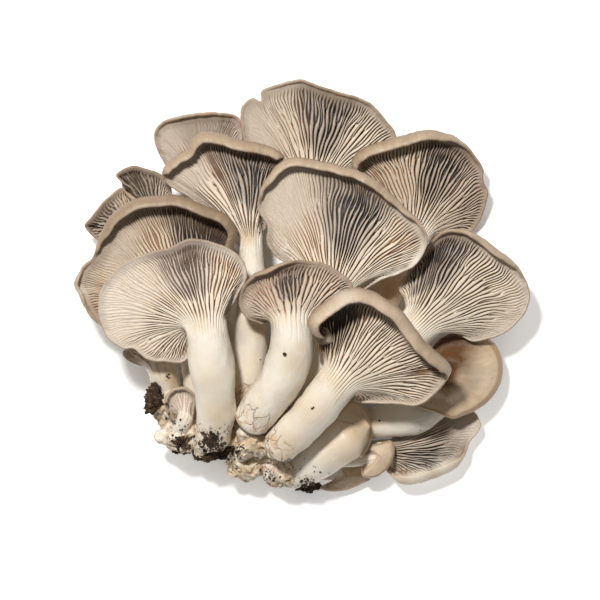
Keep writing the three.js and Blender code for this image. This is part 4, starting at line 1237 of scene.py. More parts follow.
    def _swell(self, points: Array, u: float) -> Array:
        """The stem's points, a little uneven, as it grew.

        Args:
            points: One ring.
            u: Its share of the stem's length.

        Returns:
            The ring, swollen and drawn in.
        """
        calm = 1 - smooth(u, self.tail_from, 1.0)
        centre = points.mean(axis=0)
        swell = 0.05 * waves(points, self.seed + 11, 11) + 0.012 * waves(points, self.seed + 12, 2.5, 2)
        return centre + (points - centre) * column(1 + swell * calm)

    def _stem_flow(self, u: float) -> Array:
        """Where streaks are drawn on the stem, in step with those of the cap."""
        return 0.55 * self.cap.ring - np.array([0.0, 0.0, 0.22 * (1 - u) * self.stem.curve.length])

    def _stem_ring(self, points: Array, sunk: float, u: float) -> Array:
        """One ring of the stem below the gills."""
        flow = self._stem_flow(u - sunk / self.stem.curve.length)[0::self.per_slot]
        return self.parts.ring(self._swell(points, u), flow, stem=1.0, run=u)

    def _warped(self, points: Array, s: float) -> Array:
        """A row of the gills with its columns moved sideways, as the blades wander.

        Args:
            points: The row.
            s: Its share of the way to the margin.

        Returns:
            The moved row.
        """
        cap, slots = self.cap, self.blades.count
        fade = smooth(s, 0, 0.2) * (1 - smooth(s, 0.84, 1))
        place = cap.ring + np.array([0.0, 0.0, 1.0]) * column(s * cap.length)
        wander = 0.9 * waves(place, self.seed + 71, 14, 2)
        drift = self.blades.drift(s)
        own = np.where(np.tile(self.offsets, slots) < 0.4, drift[self.slot_of],
                       (drift[self.slot_of] + np.roll(drift, -1)[self.slot_of]) / 2)
        moved = (cap.u + fade * (wander + own) / slots) % 1
        order = np.argsort(cap.u % 1)
        known, row = (cap.u % 1)[order], points[order]
        return np.stack([np.interp(moved, known, row[:, k], period=1) for k in range(3)], axis=-1)

    def _depth(self, row: Array, s: float) -> Array:
        """How deep the gaps between the gills are along one row.

        Args:
            row: The row's points.
            s: Its share of the way to the margin.

        Returns:
            One depth for each column, in millimetres.
        """
        cap = self.cap
        room = np.clip((cap.length - 4) / 16, 0, 1)
        place = cap.ring + np.array([0.0, 0.0, 1.0]) * column(s * cap.length)
        uneven = 1 + 0.18 * waves(place, self.seed + 81, 8, 2)
        run = (0.35 + 0.65 * smooth(s, 0, 0.2)) * (1 - smooth(s, 0.86, 1))
        depth = self.gill_depth * room * uneven * run
        spacing = np.linalg.norm(np.roll(row, -self.per_slot, axis=0) - row, axis=-1)
        crowd = mix(8, 2.6, smooth(s, 0, 0.5))
        return np.minimum(depth, spacing * crowd) * (1 - cap.flush) * (1 - self.calmed * self._calm_at(s))

    def _calm_at(self, s: float) -> Array:
        """How low and fine the gills are along one row."""
        start = self.mushroom.look.calm_from
        return self.calm * smooth(s, start, start + 0.35)

    def _grooves(self, row: Array, s: float) -> Array:
        """The grooves' width along one row.

        Args:
            row: The row's points.
            s: Its share of the way to the margin.

        Returns:
            One width for each blade, in slots.
        """
        width = mix(self.neck_groove, self.margin_groove, float(smooth(s, 0, 0.8)))
        tops = row[0::self.per_slot]
        spacing = np.linalg.norm(np.roll(tops, -1, axis=0) - np.roll(tops, 1, axis=0), axis=-1) / 2
        wider = 1 + self.dark_widening * self.tinge[0::self.per_slot] ** 2
        return np.clip(width * wider / np.maximum(spacing, 0.05), *self.widest_grooves)

    def _gill_rings(self, foot: Array) -> Array:
        """The gills, from their tails on the stem to the margin.

        Args:
            foot: The last ring of the stem.

        Returns:
            The last ring of the gills.
        """
        cap, parts, look = self.cap, self.parts, self.mushroom.look
        before = foot
        for i, u in enumerate(self.tails):
            share = (u - self.tail_from) / (1 - self.tail_from)
            grooves = self._grooves(self.surface[i], 0)
            low = self.blades.lowness(self.blades.on_stem(share), self.offsets, grooves)
            depth = self.tail_depth * self.gill_depth * smooth(share, 0, 1) * (1 - cap.flush)
            points = self._swell(self.surface[i], u) - column(depth * low) * self.facing[i]
            gap = self.tail_gap * low * smooth(share, 0.2, 1) * (1 - cap.flush)
            ring = parts.ring(points, self._stem_flow(u), gap=gap, stem=1.0, run=u)
            if i:
                parts.band(before, ring)
            else:
                parts.fan(before, ring, widening=True)
            before = ring
        for j, s in enumerate(self.shares[1:], start=1):
            row = self.surface[self.tail_rows + j - 1]
            standing = mix(self.blades.on_stem(1.0), self.blades.presence(s), float(smooth(s, 0, 0.1)))
            low = self.blades.lowness(standing, self.offsets, self._grooves(row, s))
            depth = self._depth(row, s)
            points = self._warped(row, s) - column(depth * low) * self.facing[self.tail_rows + j - 1]
            calm = self._calm_at(s)
            gap = low * mix(self.tail_gap, 1, smooth(s, 0, 0.15)) * (1 - smooth(s, 0.9, 1)) * (1 - cap.flush)
            gap = gap * (1 - self.calmed * calm)
            # Near the margin the shade mask paints the shade that the rolled rim throws on the gills, partly
            # their own grey tint; where they are calm it turns them towards the zone colour too.
            shade = np.maximum(smooth(s, 1 - 2.2 * look.zone_width, 1), self.calm_shade * calm)
            ring = parts.ring(
                points, self._flow(s), gap=gap, stem=1 - smooth(s, 0.02, 0.22),
                run=mix(1.0, s, smooth(s, 0, 0.16)), tinge=self.tinge * smooth(s, 0.1, 0.45),
                shade=shade * (1 - cap.flush),
            )
            parts.band(before, ring)
            before = ring
        return before

    def _margin_rings(self, rim: Array) -> Array:
        """The margin: up the inside of the curl, over the lip and back down the outside.

        Args:
            rim: The last ring of the gills.

        Returns:
            The last ring of the margin.
        """
        cap, parts = self.cap, self.parts
        inner = cap.curl - cap.flesh
        middle = cap.curl - cap.flesh / 2
        section: list[tuple[Array, Array, float]] = []
        for turn in self.curl_inside:
            section.append((turn * cap.roll, inner, 0.0))
        for angle in self.curl_lip:
            radius = middle - cap.flesh / 2 * math.cos(angle * math.pi)
            ahead = cap.flesh / 2 * math.sin(angle * math.pi) / np.maximum(middle, 0.2)
            section.append((cap.roll + ahead, radius, 0.15 + 0.7 * angle))
        for turn in self.curl_outside:
            section.append((turn * cap.roll, cap.curl, 1.0))
        before = rim
        lip = len(self.curl_inside) + len(self.curl_lip) // 2
        for k, (angle, radius, skin) in enumerate(section):
            share = mix(cap.RIM_SHARE, cap.SKIN_SHARE, (k + 1) / len(section))
            points = cap.settled(cap.margin_point(angle, radius), share)
            # Inside the curl the shade mask is the painted shade under the rim; outside it darkens the lip
            # line, partly its own darker colour, and paints shade on the roll's outer edge.
            edge = max(1 - smooth(abs(k - lip), 0, 2.6), smooth(k, lip + 2.6, lip + 5.6))
            mask = edge if skin > 0.1 else 1.0
            ring = parts.ring(points, self._flow(1.0), skin=np.maximum(skin, cap.flush),
                              stem=self._paleness(points) * cap.flush, run=1.0,
                              shade=(1 - cap.flush) * mask, tinge=self.tinge)
            parts.band(before, ring)
            before = ring
        return before

    def _paleness(self, points: Array) -> Array:
        """How far the skin has the stem's pale colour, by its distance from the neck."""
        away = np.linalg.norm(points - self.cap.centre, axis=-1) / self.cap.radius
        return 1 - smooth(away, 0.9, self.mushroom.look.pale_reach)

    def _skin_rings(self, back: Array) -> None:
        """The skin, from the margin to the crown.

        Args:
            back: The last ring of the margin.
        """
        cap, parts = self.cap, self.parts
        down = self.mushroom.gills_down
        edge = cap.margin_point(np.zeros_like(cap.curl), cap.curl)
        towards = unit(cap.crown - cap.centre)
        if down:
            towards = unit(mix(towards, -self.stem.gill_side, 0.85))
        to_crown = cap.crown - edge
        distance = np.linalg.norm(to_crown, axis=-1)
        arriving = unit(to_crown - column(to_crown @ towards) * towards)
        leaving = -cap.outward
        if down:
            leaving = unit(leaving - column(0.5 * (1 - cap.front)) * self.stem.gill_side)
        coarse = slice(0, None, self.per_slot)
        before = back
        for k, s in enumerate(self.skin_shares):
            pull = column(0.8 * distance)
            arch = hermite(edge, pull * leaving, cap.crown, pull * arriving, 1 - s)
            hump = self.mushroom.hump * math.sin(math.pi * min(1.0, 1.35 * s)) ** 2
            arch = arch - hump * self.stem.gill_side
            room = np.clip((cap.length - 4) / 16, 0, 1)
            blade = 2.4 * room * smooth(s, 0, 0.16) * (1 - smooth(s, 0.82, 1))
            thickness = mix(cap.NECK_FLESH_SHARE * cap.radius, cap.flesh, s) + blade + 0.3
            row = self.tail_rows + max(0, int(round(s * self.gill_rows)) - 1)
            sheet = cap.gill_point(s) - column(thickness) * self.facing[row]
            share = 0 * cap.length if down else smooth(s, 0.08, 0.5) * smooth(cap.length, 5, 16)
            points = mix(arch, sheet, column(share))
            bump = 0.35 * waves(points, self.seed + 31, 14, 2) * (1 - cap.flush) * smooth(1 - s, 0, 0.2)
            points = points + column(bump) * self.facing[row]
            points = cap.settled(points, float(mix(1, cap.SKIN_SHARE, s)))
            ring = parts.ring(points[coarse], self._flow(s)[coarse] * (self.finer_skin if down else 1),
                              skin=1.0, stem=self._paleness(points)[coarse], run=mix(1.0, 0.6, s))
            if k:
                parts.band(before, ring)
            else:
                parts.fan(ring, before, widening=False)
            before = ring
        crown = cap.crown[None]
        crown = parts.ring(crown, np.zeros((1, 3)), skin=1.0, stem=self._paleness(crown), run=1.0)
        parts.close(before, crown, at_start=False)


# Node trees


class NodeBoard:
    """Places nodes in one tree and wires them."""

    def __init__(self, tree: NodeTree) -> None:
        """Keeps the tree that the nodes go into."""
        self.tree = tree

    def add(self, kind: str, inputs: Optional[dict] = None, **settings: object) -> Node:
        """Adds a node.

        Args:
            kind: Blender's name of the node type.
            inputs: What feeds its inputs, sockets or values, by name or number.
            settings: The node's own settings.

        Returns:
            The new node.
        """
        node = self.tree.nodes.new(kind)
        for name, value in settings.items():
            setattr(node, name, value)
        for name, value in (inputs or {}).items():
            self.feed(node.inputs[name], value)
        return node

    def feed(self, socket: NodeSocket, value: object) -> None:
        """Wires a socket to another one, or sets its value.

        Args:
            socket: The socket.
            value: What feeds it.
        """
        if isinstance(value, NodeSocket):
            self.tree.links.new(value, socket)
        elif socket.type == "RGBA":
            socket.default_value = (*value, 1.0)
        else:
            socket.default_value = value

    def maths(self, operation: str, first: object, second: object = 0.0) -> NodeSocket:
        """The result of one sum."""
        return self.add("ShaderNodeMath", {0: first, 1: second}, operation=operation).outputs[0]

    def times(self, first: object, second: object) -> NodeSocket:
        """One value times another."""
        return self.maths("MULTIPLY", first, second)

    def blend(self, amount: object, first: object, second: object) -> NodeSocket:
        """A colour between two colours."""
        node = self.add("ShaderNodeMix", {0: amount, 6: first, 7: second}, data_type="RGBA")
        return node.outputs[2]

    def shade(self, colour: object, amount: object, strength: float) -> NodeSocket:
        """A colour made lighter and darker round itself by a mask between 0 and 1."""
        factor = self.between(amount, 0.0, 1.0, 1 - strength, 1 + strength, "LINEAR")
        scaled = self.add("ShaderNodeVectorMath", {0: colour, 3: factor}, operation="SCALE")
        return scaled.outputs[0]

    def between(
        self, value: object, low: float, high: float, first: float = 0.0, last: float = 1.0,
        way: str = "SMOOTHSTEP",
    ) -> NodeSocket:
        """A value brought from one range to another, and held at its ends.

        Args:
            value: The value.
            low: Where its range starts.
            high: Where it ends.
            first: What low becomes.
            last: What high becomes.
            way: How it goes from one to the other.

        Returns:
            The new value.
        """
        node = self.add("ShaderNodeMapRange", {0: value, 1: low, 2: high, 3: first, 4: last},
                        interpolation_type=way)
        return node.outputs[0]

    def noise(
        self, place: object, scale: float, detail: float = 2.0, rough: float = 0.5
    ) -> NodeSocket:
        """Cloudy noise between 0 and 1."""
        inputs = {"Vector": place, "Scale": scale, "Detail": detail, "Roughness": rough}
        return self.add("ShaderNodeTexNoise", inputs).outputs[0]

    def attribute(self, name: str, vector: bool = False) -> NodeSocket:
        """A number or a vector that the mesh carries."""
        node = self.add("ShaderNodeAttribute", attribute_name=name)
        return node.outputs["Vector" if vector else "Fac"]


class NodeGroup:
    """A reusable effect with named inputs and outputs."""

    def __init__(self, name: str, inputs: dict[str, str], outputs: dict[str, str]) -> None:
        """Makes the empty group.

        Args:
            name: The group's name.
            inputs: Socket types by name.
            outputs: Socket types by name.
        """
        self.tree = bpy.data.node_groups.new(name, "ShaderNodeTree")
        for label, kind in inputs.items():
            self.tree.interface.new_socket(label, in_out="INPUT", socket_type=kind)
        for label, kind in outputs.items():
            self.tree.interface.new_socket(label, in_out="OUTPUT", socket_type=kind)
        self.board = NodeBoard(self.tree)
        self.inputs = self.board.add("NodeGroupInput").outputs
        self.outputs = self.board.add("NodeGroupOutput").inputs

    def place_in(self, board: NodeBoard, values: dict[str, object]) -> Node:
        """Places the group in another tree.

        Args:
            board: That tree.
            values: What feeds the group's inputs, by name.

        Returns:
            The group's node.
        """
        node = board.add("ShaderNodeGroup", node_tree=self.tree)
        for name, value in values.items():
            board.feed(node.inputs[name], value)
        return node


NUMBER, COLOUR, VECTOR = "NodeSocketFloat", "NodeSocketColor", "NodeSocketVector"


class SoilSpecks(NodeGroup):
    """Sparse dark specks and smears of growing substrate."""

    def __init__(self) -> None:
        """Builds the group."""
        super().__init__("soil_specks", {"Place": VECTOR, "Amount": NUMBER}, {"Mask": NUMBER})
        board, place = self.board, self.inputs["Place"]
        specks = board.noise(place, 0.42, 5.0, 0.72)
        patches = board.noise(place, 0.1, 3.0, 0.6)
        total = board.maths("ADD", board.times(specks, 0.42), board.times(patches, 0.66))
        level = board.between(self.inputs["Amount"], 0.0, 1.0, 0.84, 0.48, "LINEAR")
        over = board.maths("SUBTRACT", total, level)
        board.feed(self.outputs["Mask"], board.between(over, 0.0, 0.045))


class CrackLines(NodeGroup):
    """Winding cracks and creases, as in a drying crust."""

    def __init__(self) -> None:
        """Builds the group."""
        inputs = {"Place": VECTOR, "Size": NUMBER, "Amount": NUMBER}
        super().__init__("crack_lines", inputs, {"Mask": NUMBER})
        board, place = self.board, self.inputs["Place"]
        wobble = board.add("ShaderNodeTexNoise", {"Vector": place, "Scale": 0.16, "Detail": 3.0})
        bend = {0: wobble.outputs["Color"], 1: (9.0, 9.0, 9.0), 2: place}
        bent = board.add("ShaderNodeVectorMath", bend, operation="MULTIPLY_ADD")
        scale = board.maths("DIVIDE", 1.0, self.inputs["Size"])
        cells = board.add("ShaderNodeTexVoronoi", {"Vector": bent.outputs[0], "Scale": scale},
                          feature="DISTANCE_TO_EDGE")
        level = board.between(self.inputs["Amount"], 0.0, 1.0, 0.75, 0.35, "LINEAR")
        opened = board.maths("SUBTRACT", board.noise(place, 0.12, 3.0, 0.6), level)
        lines = board.between(cells.outputs[0], 0.0, 0.06, 1.0, 0.0)
        board.feed(self.outputs["Mask"], board.times(lines, board.between(opened, 0.0, 0.12)))


class GrowthStreaks(NodeGroup):
    """Fine streaks that run the way the flesh grew."""

    def __init__(self) -> None:
        """Builds the group."""
        super().__init__("growth_streaks", {"Flow": VECTOR}, {"Fine": NUMBER, "Broad": NUMBER})
        board, flow = self.board, self.inputs["Flow"]
        board.feed(self.outputs["Fine"], board.noise(flow, 1.5, 3.0, 0.6))
        board.feed(self.outputs["Broad"], board.noise(flow, 0.28, 2.0, 0.5))


class FleshSurface(NodeGroup):
    """Colour, roughness and height of a whole mushroom, from the numbers its mesh carries."""

    COLOURS = {
        "Ridge": "ridge", "Gap pale": "gap_pale", "Gap colour": "gap", "Black": "black", "Zone": "zone",
        "Skin colour": "skin", "Skin dark": "skin_dark", "Lip": "lip", "Stem colour": "stem",
        "Stain": "stain_and_groove_shade", "Dirt": "dirt",
    }

    def __init__(self, streaks: GrowthStreaks, specks: SoilSpecks, cracks: CrackLines) -> None:
        """Builds the group.

        Args:
            streaks: The group for streaks.
            specks: The group for soil.
            cracks: The group for cracks.
        """
        numbers = (*(channel.capitalize() for channel in MeshParts.CHANNELS), "Stain amount", "Foot dirt")
        inputs = {name: NUMBER for name in numbers}
        inputs.update({"Flow": VECTOR, "Place": VECTOR, "Tint": VECTOR})
        inputs.update({name: COLOUR for name in self.COLOURS})
        super().__init__("flesh_surface", inputs, {"Color": COLOUR, "Roughness": NUMBER, "Height": NUMBER})
        board, given = self.board, self.inputs
        streak = streaks.place_in(board, {"Flow": given["Flow"]}).outputs
        mottle = board.noise(given["Place"], 0.085, 3.0, 0.55)
        grain = board.noise(given["Place"], 1.1, 3.0, 0.6)

        # Painted shade in the gills: the gaps darken with the grooves' depth, and towards dark_towards they
        # darken further to black with greyed ridges, partly the gills' own darker tinge.
        near = board.between(given["Tinge"], 0.12, 0.75)
        core = board.between(given["Run"], 0.12, 0.45)
        core = board.times(board.between(given["Tinge"], 0.3, 0.82), core)
        hollow = board.blend(near, given["Gap pale"], given["Gap colour"])
        hollow = board.blend(core, hollow, given["Black"])
        deep = board.between(given["Gap"], 0.08, 0.62)
        ridge = board.blend(board.times(core, 0.7), given["Ridge"], given["Zone"])
        gills = board.blend(deep, ridge, hollow)
        gills = board.shade(gills, streak["Fine"], 0.14)
        zone = board.shade(given["Zone"], streak["Fine"], 0.3)
        zone = board.blend(board.times(core, 0.6), zone, given["Gap colour"])
        gills = board.blend(board.times(given["Shade"], 0.75), gills, zone)

        broad = board.between(streak["Broad"], 0.3, 0.75)
        darker = board.maths("ADD", board.between(mottle, 0.36, 0.68), broad)
        skin = board.blend(board.times(darker, 0.5), given["Skin colour"], given["Skin dark"])
        skin = board.shade(skin, streak["Fine"], 0.12)
        lip = board.shade(given["Lip"], streak["Broad"], 0.12)
        # With the shade mask the lip colour paints shade on the roll's edges, partly the lip line's own
        # darker colour.
        skin = board.blend(board.times(given["Shade"], 0.75), skin, lip)
        cap = board.blend(given["Skin"], gills, skin)

        stained = board.between(board.noise(given["Place"], 0.07, 4.0, 0.55), 0.42, 0.72)
        stained = board.times(stained, given["Stain amount"])
        stem = board.blend(stained, given["Stem colour"], given["Stain"])
        stem = board.shade(stem, streak["Fine"], 0.08)
        # The grooves between the gills' tails on the stem darken towards the stain colour: painted shade in
        # them.
        stem = board.blend(given["Gap"], stem, given["Stain"])
        foot = board.times(board.between(given["Run"], 0.0, 0.3, 1.0, 0.0), given["Foot dirt"])
        smear = board.between(board.noise(given["Place"], 0.32, 5.0, 0.7), 0.44, 0.62)
        stem = board.blend(board.times(foot, smear), stem, given["Stain"])
        papery = board.between(given["Run"], 0.1, 0.3, 1.0, 0.0)
        papery = board.times(papery, board.times(given["Foot dirt"], 1.6))
        crack = cracks.place_in(board, {"Place": given["Place"], "Size": 7.0, "Amount": papery})
        crack = crack.outputs["Mask"]
        stem = board.blend(board.times(crack, 0.5), stem, given["Gap pale"])
        soil = specks.place_in(board, {"Place": given["Place"], "Amount": board.times(foot, 0.75)})
        soil = soil.outputs["Mask"]
        stem = board.blend(soil, stem, given["Dirt"])
        colour = board.blend(given["Stem"], cap, stem)
        # Tints: Z pales towards the stem colour, partly a painted highlight; X is a tan stain; Y darkens
        # towards the gap colour as painted shade and cast shadow.
        tint = board.add("ShaderNodeSeparateXYZ", {0: given["Tint"]}).outputs
        uneven = board.between(mottle, 0.3, 0.7, 0.7, 1.15)
        colour = board.blend(board.times(tint["Z"], uneven), colour, given["Stem colour"])
        colour = board.blend(board.times(tint["X"], uneven), colour, given["Stain"])
        colour = board.blend(board.times(tint["Y"], uneven), colour, given["Gap colour"])

        board.feed(self.outputs["Color"], colour)
        board.feed(self.outputs["Roughness"], board.between(streak["Fine"], 0.3, 0.7, 0.36, 0.52, "LINEAR"))
        relief = board.maths("ADD", board.times(streak["Fine"], 0.5), board.times(grain, 0.3))
        crack = board.times(crack, given["Stem"])
        board.feed(self.outputs["Height"], board.maths("SUBTRACT", relief, crack))


class KnottedSurface(NodeGroup):
    """White matted threads, creased and stained, with dark soil in the low places."""

    COLOURS = {"White": "white", "Tan": "tan", "Rust": "rust", "Crack": "crack", "Soil": "soil"}

    def __init__(self, specks: SoilSpecks, cracks: CrackLines) -> None:
        """Builds the group.

        Args:
            specks: The group for soil.
            cracks: The group for cracks.
        """
        inputs = {"Place": VECTOR, "Hollow": NUMBER, "Soil amount": NUMBER}
        inputs.update({name: COLOUR for name in self.COLOURS})
        super().__init__("knotted_surface", inputs, {"Color": COLOUR, "Height": NUMBER})
        board, given = self.board, self.inputs
        place = given["Place"]
        crack = cracks.place_in(board, {"Place": place, "Size": 5.0, "Amount": 0.6}).outputs["Mask"]
        fuzz = board.noise(place, 1.1, 5.0, 0.7)
        tan = board.between(board.noise(place, 0.09, 5.0, 0.65), 0.42, 0.62)
        rust = board.between(board.noise(place, 0.2, 5.0, 0.7), 0.5, 0.62)
        colour = board.blend(board.times(tan, 0.8), given["White"], given["Tan"])
        colour = board.blend(board.times(rust, 0.7), colour, given["Rust"])
        colour = board.shade(colour, fuzz, 0.22)
        low = board.times(given["Hollow"], board.between(fuzz, 0.25, 0.6, 0.55, 1.0))
        colour = board.blend(board.times(low, 0.7), colour, given["Rust"])
        colour = board.blend(board.times(crack, 0.75), colour, given["Crack"])
        amount = board.maths("ADD", given["Soil amount"], board.times(given["Hollow"], 0.2))
        soil = specks.place_in(board, {"Place": place, "Amount": amount}).outputs["Mask"]
        colour = board.blend(soil, colour, given["Soil"])
        board.feed(self.outputs["Color"], colour)
        board.feed(self.outputs["Height"], board.maths("SUBTRACT", board.times(fuzz, 0.8), crack))


@dataclass(frozen=True)
class BaseFinish:
    """Colours of the matted base."""

    white: Colour = (0.92, 0.85, 0.72)
    tan: Colour = (0.70, 0.53, 0.33)
    rust: Colour = (0.50, 0.29, 0.13)
    crack: Colour = (0.20, 0.11, 0.05)
    soil: Colour = (0.035, 0.020, 0.011)
    soil_amount: float = 0.16


@dataclass(frozen=True)
class SoilFinish:
    """Colours of the crumbs of substrate."""

    dark: Colour = (0.018, 0.011, 0.007)
    brown: Colour = (0.10, 0.055, 0.026)
    threads: Colour = (0.42, 0.34, 0.24)


class Finishes:
    """Makes the materials from the groups, each group built once."""

    def __init__(self) -> None:
        """Builds the shared groups."""
        self.specks = SoilSpecks()
        self.streaks = GrowthStreaks()
        self.cracks = CrackLines()
        self.flesh_group = FleshSurface(self.streaks, self.specks, self.cracks)
        self.knotted_group = KnottedSurface(self.specks, self.cracks)

    def _start(self, name: str) -> tuple[Material, NodeBoard, Node, NodeSocket]:
        """Starts a material.

        Args:
            name: Its name.

        Returns:
            The material, its board, its shader and a place in millimetres.
        """
        material = bpy.data.materials.new(name)
        material.use_nodes = True
        tree = material.node_tree
        tree.nodes.clear()
        board = NodeBoard(tree)
        shader = board.add("ShaderNodeBsdfPrincipled")
        out = board.add("ShaderNodeOutputMaterial")
        tree.links.new(shader.outputs[0], out.inputs["Surface"])
        place = board.add("ShaderNodeTexCoord").outputs["Object"]
        scaled = board.add("ShaderNodeVectorMath", {0: place, 3: 1 / MM}, operation="SCALE")
        return material, board, shader, scaled.outputs[0]

    def _relief(
        self, board: NodeBoard, shader: Node, height: NodeSocket, depth: float
    ) -> None:
        """Wires a height to the shader's normal."""
        bump = board.add("ShaderNodeBump", {"Height": height, "Distance": depth * MM, "Strength": 1.0})
        board.feed(shader.inputs["Normal"], bump.outputs[0])

    def flesh(self, name: str, finish: FleshFinish) -> Material:
        """The material of one mushroom.

        Args:
            name: The mushroom's name.
            finish: Its colours.

        Returns:
            The material.
        """
        material, board, shader, place = self._start(name + "_flesh")
        shift = (31.0 * finish.seed, 17.0 * finish.seed, 5.0)
        moved = board.add("ShaderNodeVectorMath", {0: place, 1: shift}, operation="ADD").outputs[0]
        values = {name.capitalize(): board.attribute(name) for name in MeshParts.CHANNELS}
        values.update({name: getattr(finish, key) for name, key in FleshSurface.COLOURS.items()})
        values.update({
            "Flow": board.attribute("flow", vector=True), "Tint": board.attribute("tint", vector=True),
            "Place": moved, "Stain amount": finish.stain_amount, "Foot dirt": finish.foot_dirt,
        })
        made = self.flesh_group.place_in(board, values).outputs
        board.feed(shader.inputs["Base Color"], made["Color"])
        board.feed(shader.inputs["Roughness"], made["Roughness"])
        self._relief(board, shader, made["Height"], 0.35)
        shader.inputs["Subsurface Weight"].default_value = 0.12
        shader.inputs["Subsurface Radius"].default_value = (0.0025, 0.0016, 0.001)
        shader.inputs["Subsurface Scale"].default_value = 1.0
        shader.inputs["Specular IOR Level"].default_value = 0.4
        return material

    def knotted(self, finish: BaseFinish) -> Material:
        """The material of the base.

        Args:
            finish: Its colours.

        Returns:
            The material.
        """
        material, board, shader, place = self._start("matted_base")
        values = {name: getattr(finish, key) for name, key in KnottedSurface.COLOURS.items()}
        values.update({
            "Place": place, "Hollow": board.attribute("hollow"), "Soil amount": finish.soil_amount,
        })
        made = self.knotted_group.place_in(board, values).outputs
        board.feed(shader.inputs["Base Color"], made["Color"])
        self._relief(board, shader, made["Height"], 0.6)
        shader.inputs["Roughness"].default_value = 0.78
        return material

    def soil(self, finish: SoilFinish) -> Material:
        """The material of the crumbs of substrate.

        Args:
            finish: Its colours.

        Returns:
            The material.
        """
        material, board, shader, place = self._start("substrate_crumbs")
        chips = board.noise(place, 0.7, 3.0, 0.6)
        threads = board.between(board.noise(place, 0.45, 3.0, 0.6), 0.6, 0.68)
        colour = board.blend(board.between(chips, 0.35, 0.65), finish.dark, finish.brown)
        colour = board.blend(board.times(threads, 0.5), colour, finish.threads)
        board.feed(shader.inputs["Base Color"], colour)
        self._relief(board, shader, board.noise(place, 2.2, 3.0, 0.7), 0.7)
        shader.inputs["Roughness"].default_value = 0.9
        return material


# Base and soil


def start_clean() -> None:
    """Leaves nothing selected."""
    bpy.ops.object.select_all(action="DESELECT")


def apply_all(piece: Object) -> None:
    """Applies a piece's modifiers and leaves it at the origin, unturned and unscaled.

    Args:
        piece: The object.
    """
    start_clean()
    piece.select_set(True)
    bpy.context.view_layer.objects.active = piece
    for modifier in list(piece.modifiers):
        bpy.ops.object.modifier_apply(modifier=modifier.name)
    bpy.ops.object.transform_apply(location=True, rotation=True, scale=True)
    start_clean()


def join(pieces: list[Object], name: str) -> Object:
    """Joins pieces.

    Args:
        pieces: The objects.
        name: The name of the whole.

    Returns:
        The whole.
    """
    start_clean()
    for piece in pieces:
        piece.select_set(True)
    bpy.context.view_layer.objects.active = pieces[0]
    if len(pieces) > 1:
        bpy.ops.object.join()
    whole = bpy.context.view_layer.objects.active
    whole.name = name
    whole.data.name = name
    start_clean()
    return whole


def point_places(piece: Object) -> Array:
    """The places of a piece's points in millimetres."""
    places = np.empty(3 * len(piece.data.vertices), np.float32)
    piece.data.vertices.foreach_get("co", places)
    return places.reshape(-1, 3).astype(float) / MM


def move_points(piece: Object, move: PointMove) -> None:
    """Moves a piece's points.

    Args:
        piece: The object.
        move: Gives the new places from the old ones, in millimetres, and the normals.
    """
    mesh = piece.data
    normals = np.empty(3 * len(mesh.vertices), np.float32)
    mesh.vertices.foreach_get("normal", normals)
    moved = move(point_places(piece), normals.reshape(-1, 3).astype(float))
    mesh.vertices.foreach_set("co", (moved * MM).astype(np.float32).ravel())
    mesh.update()


@dataclass(frozen=True)
class Lump:
    """One knob: its middle, its three radii in millimetres and the seed of its unevenness."""

    middle: tuple[float, float, float]
    radii: tuple[float, float, float]
    seed: int
    wave: float = 0.1

    def add(self, fineness: int) -> Object:
        """Adds the knob as a rounded, uneven lump.

        Args:
            fineness: How many times its faces are divided.

        Returns:
            The new object.
        """
        start_clean()
        bpy.ops.mesh.primitive_ico_sphere_add(subdivisions=fineness, radius=MM)
        knob = bpy.context.view_layer.objects.active
        radii = np.array(self.radii)
        seed = self.seed

        def shaped(places: Array, _normals: Array) -> Array:
            """Draws the ball out to the knob."""
            x, y, z = places.T
            swell = np.sin(4.1 * x + 1.7 * seed) * np.sin(3.7 * y + 2.3 * seed)
            swell = swell + np.sin(5.3 * z + 0.9 * seed) * np.sin(2.9 * x - 1.1 * seed)
            return np.array(self.middle) + places * radii * column(1 + self.wave * swell)

        move_points(knob, shaped)
        return knob


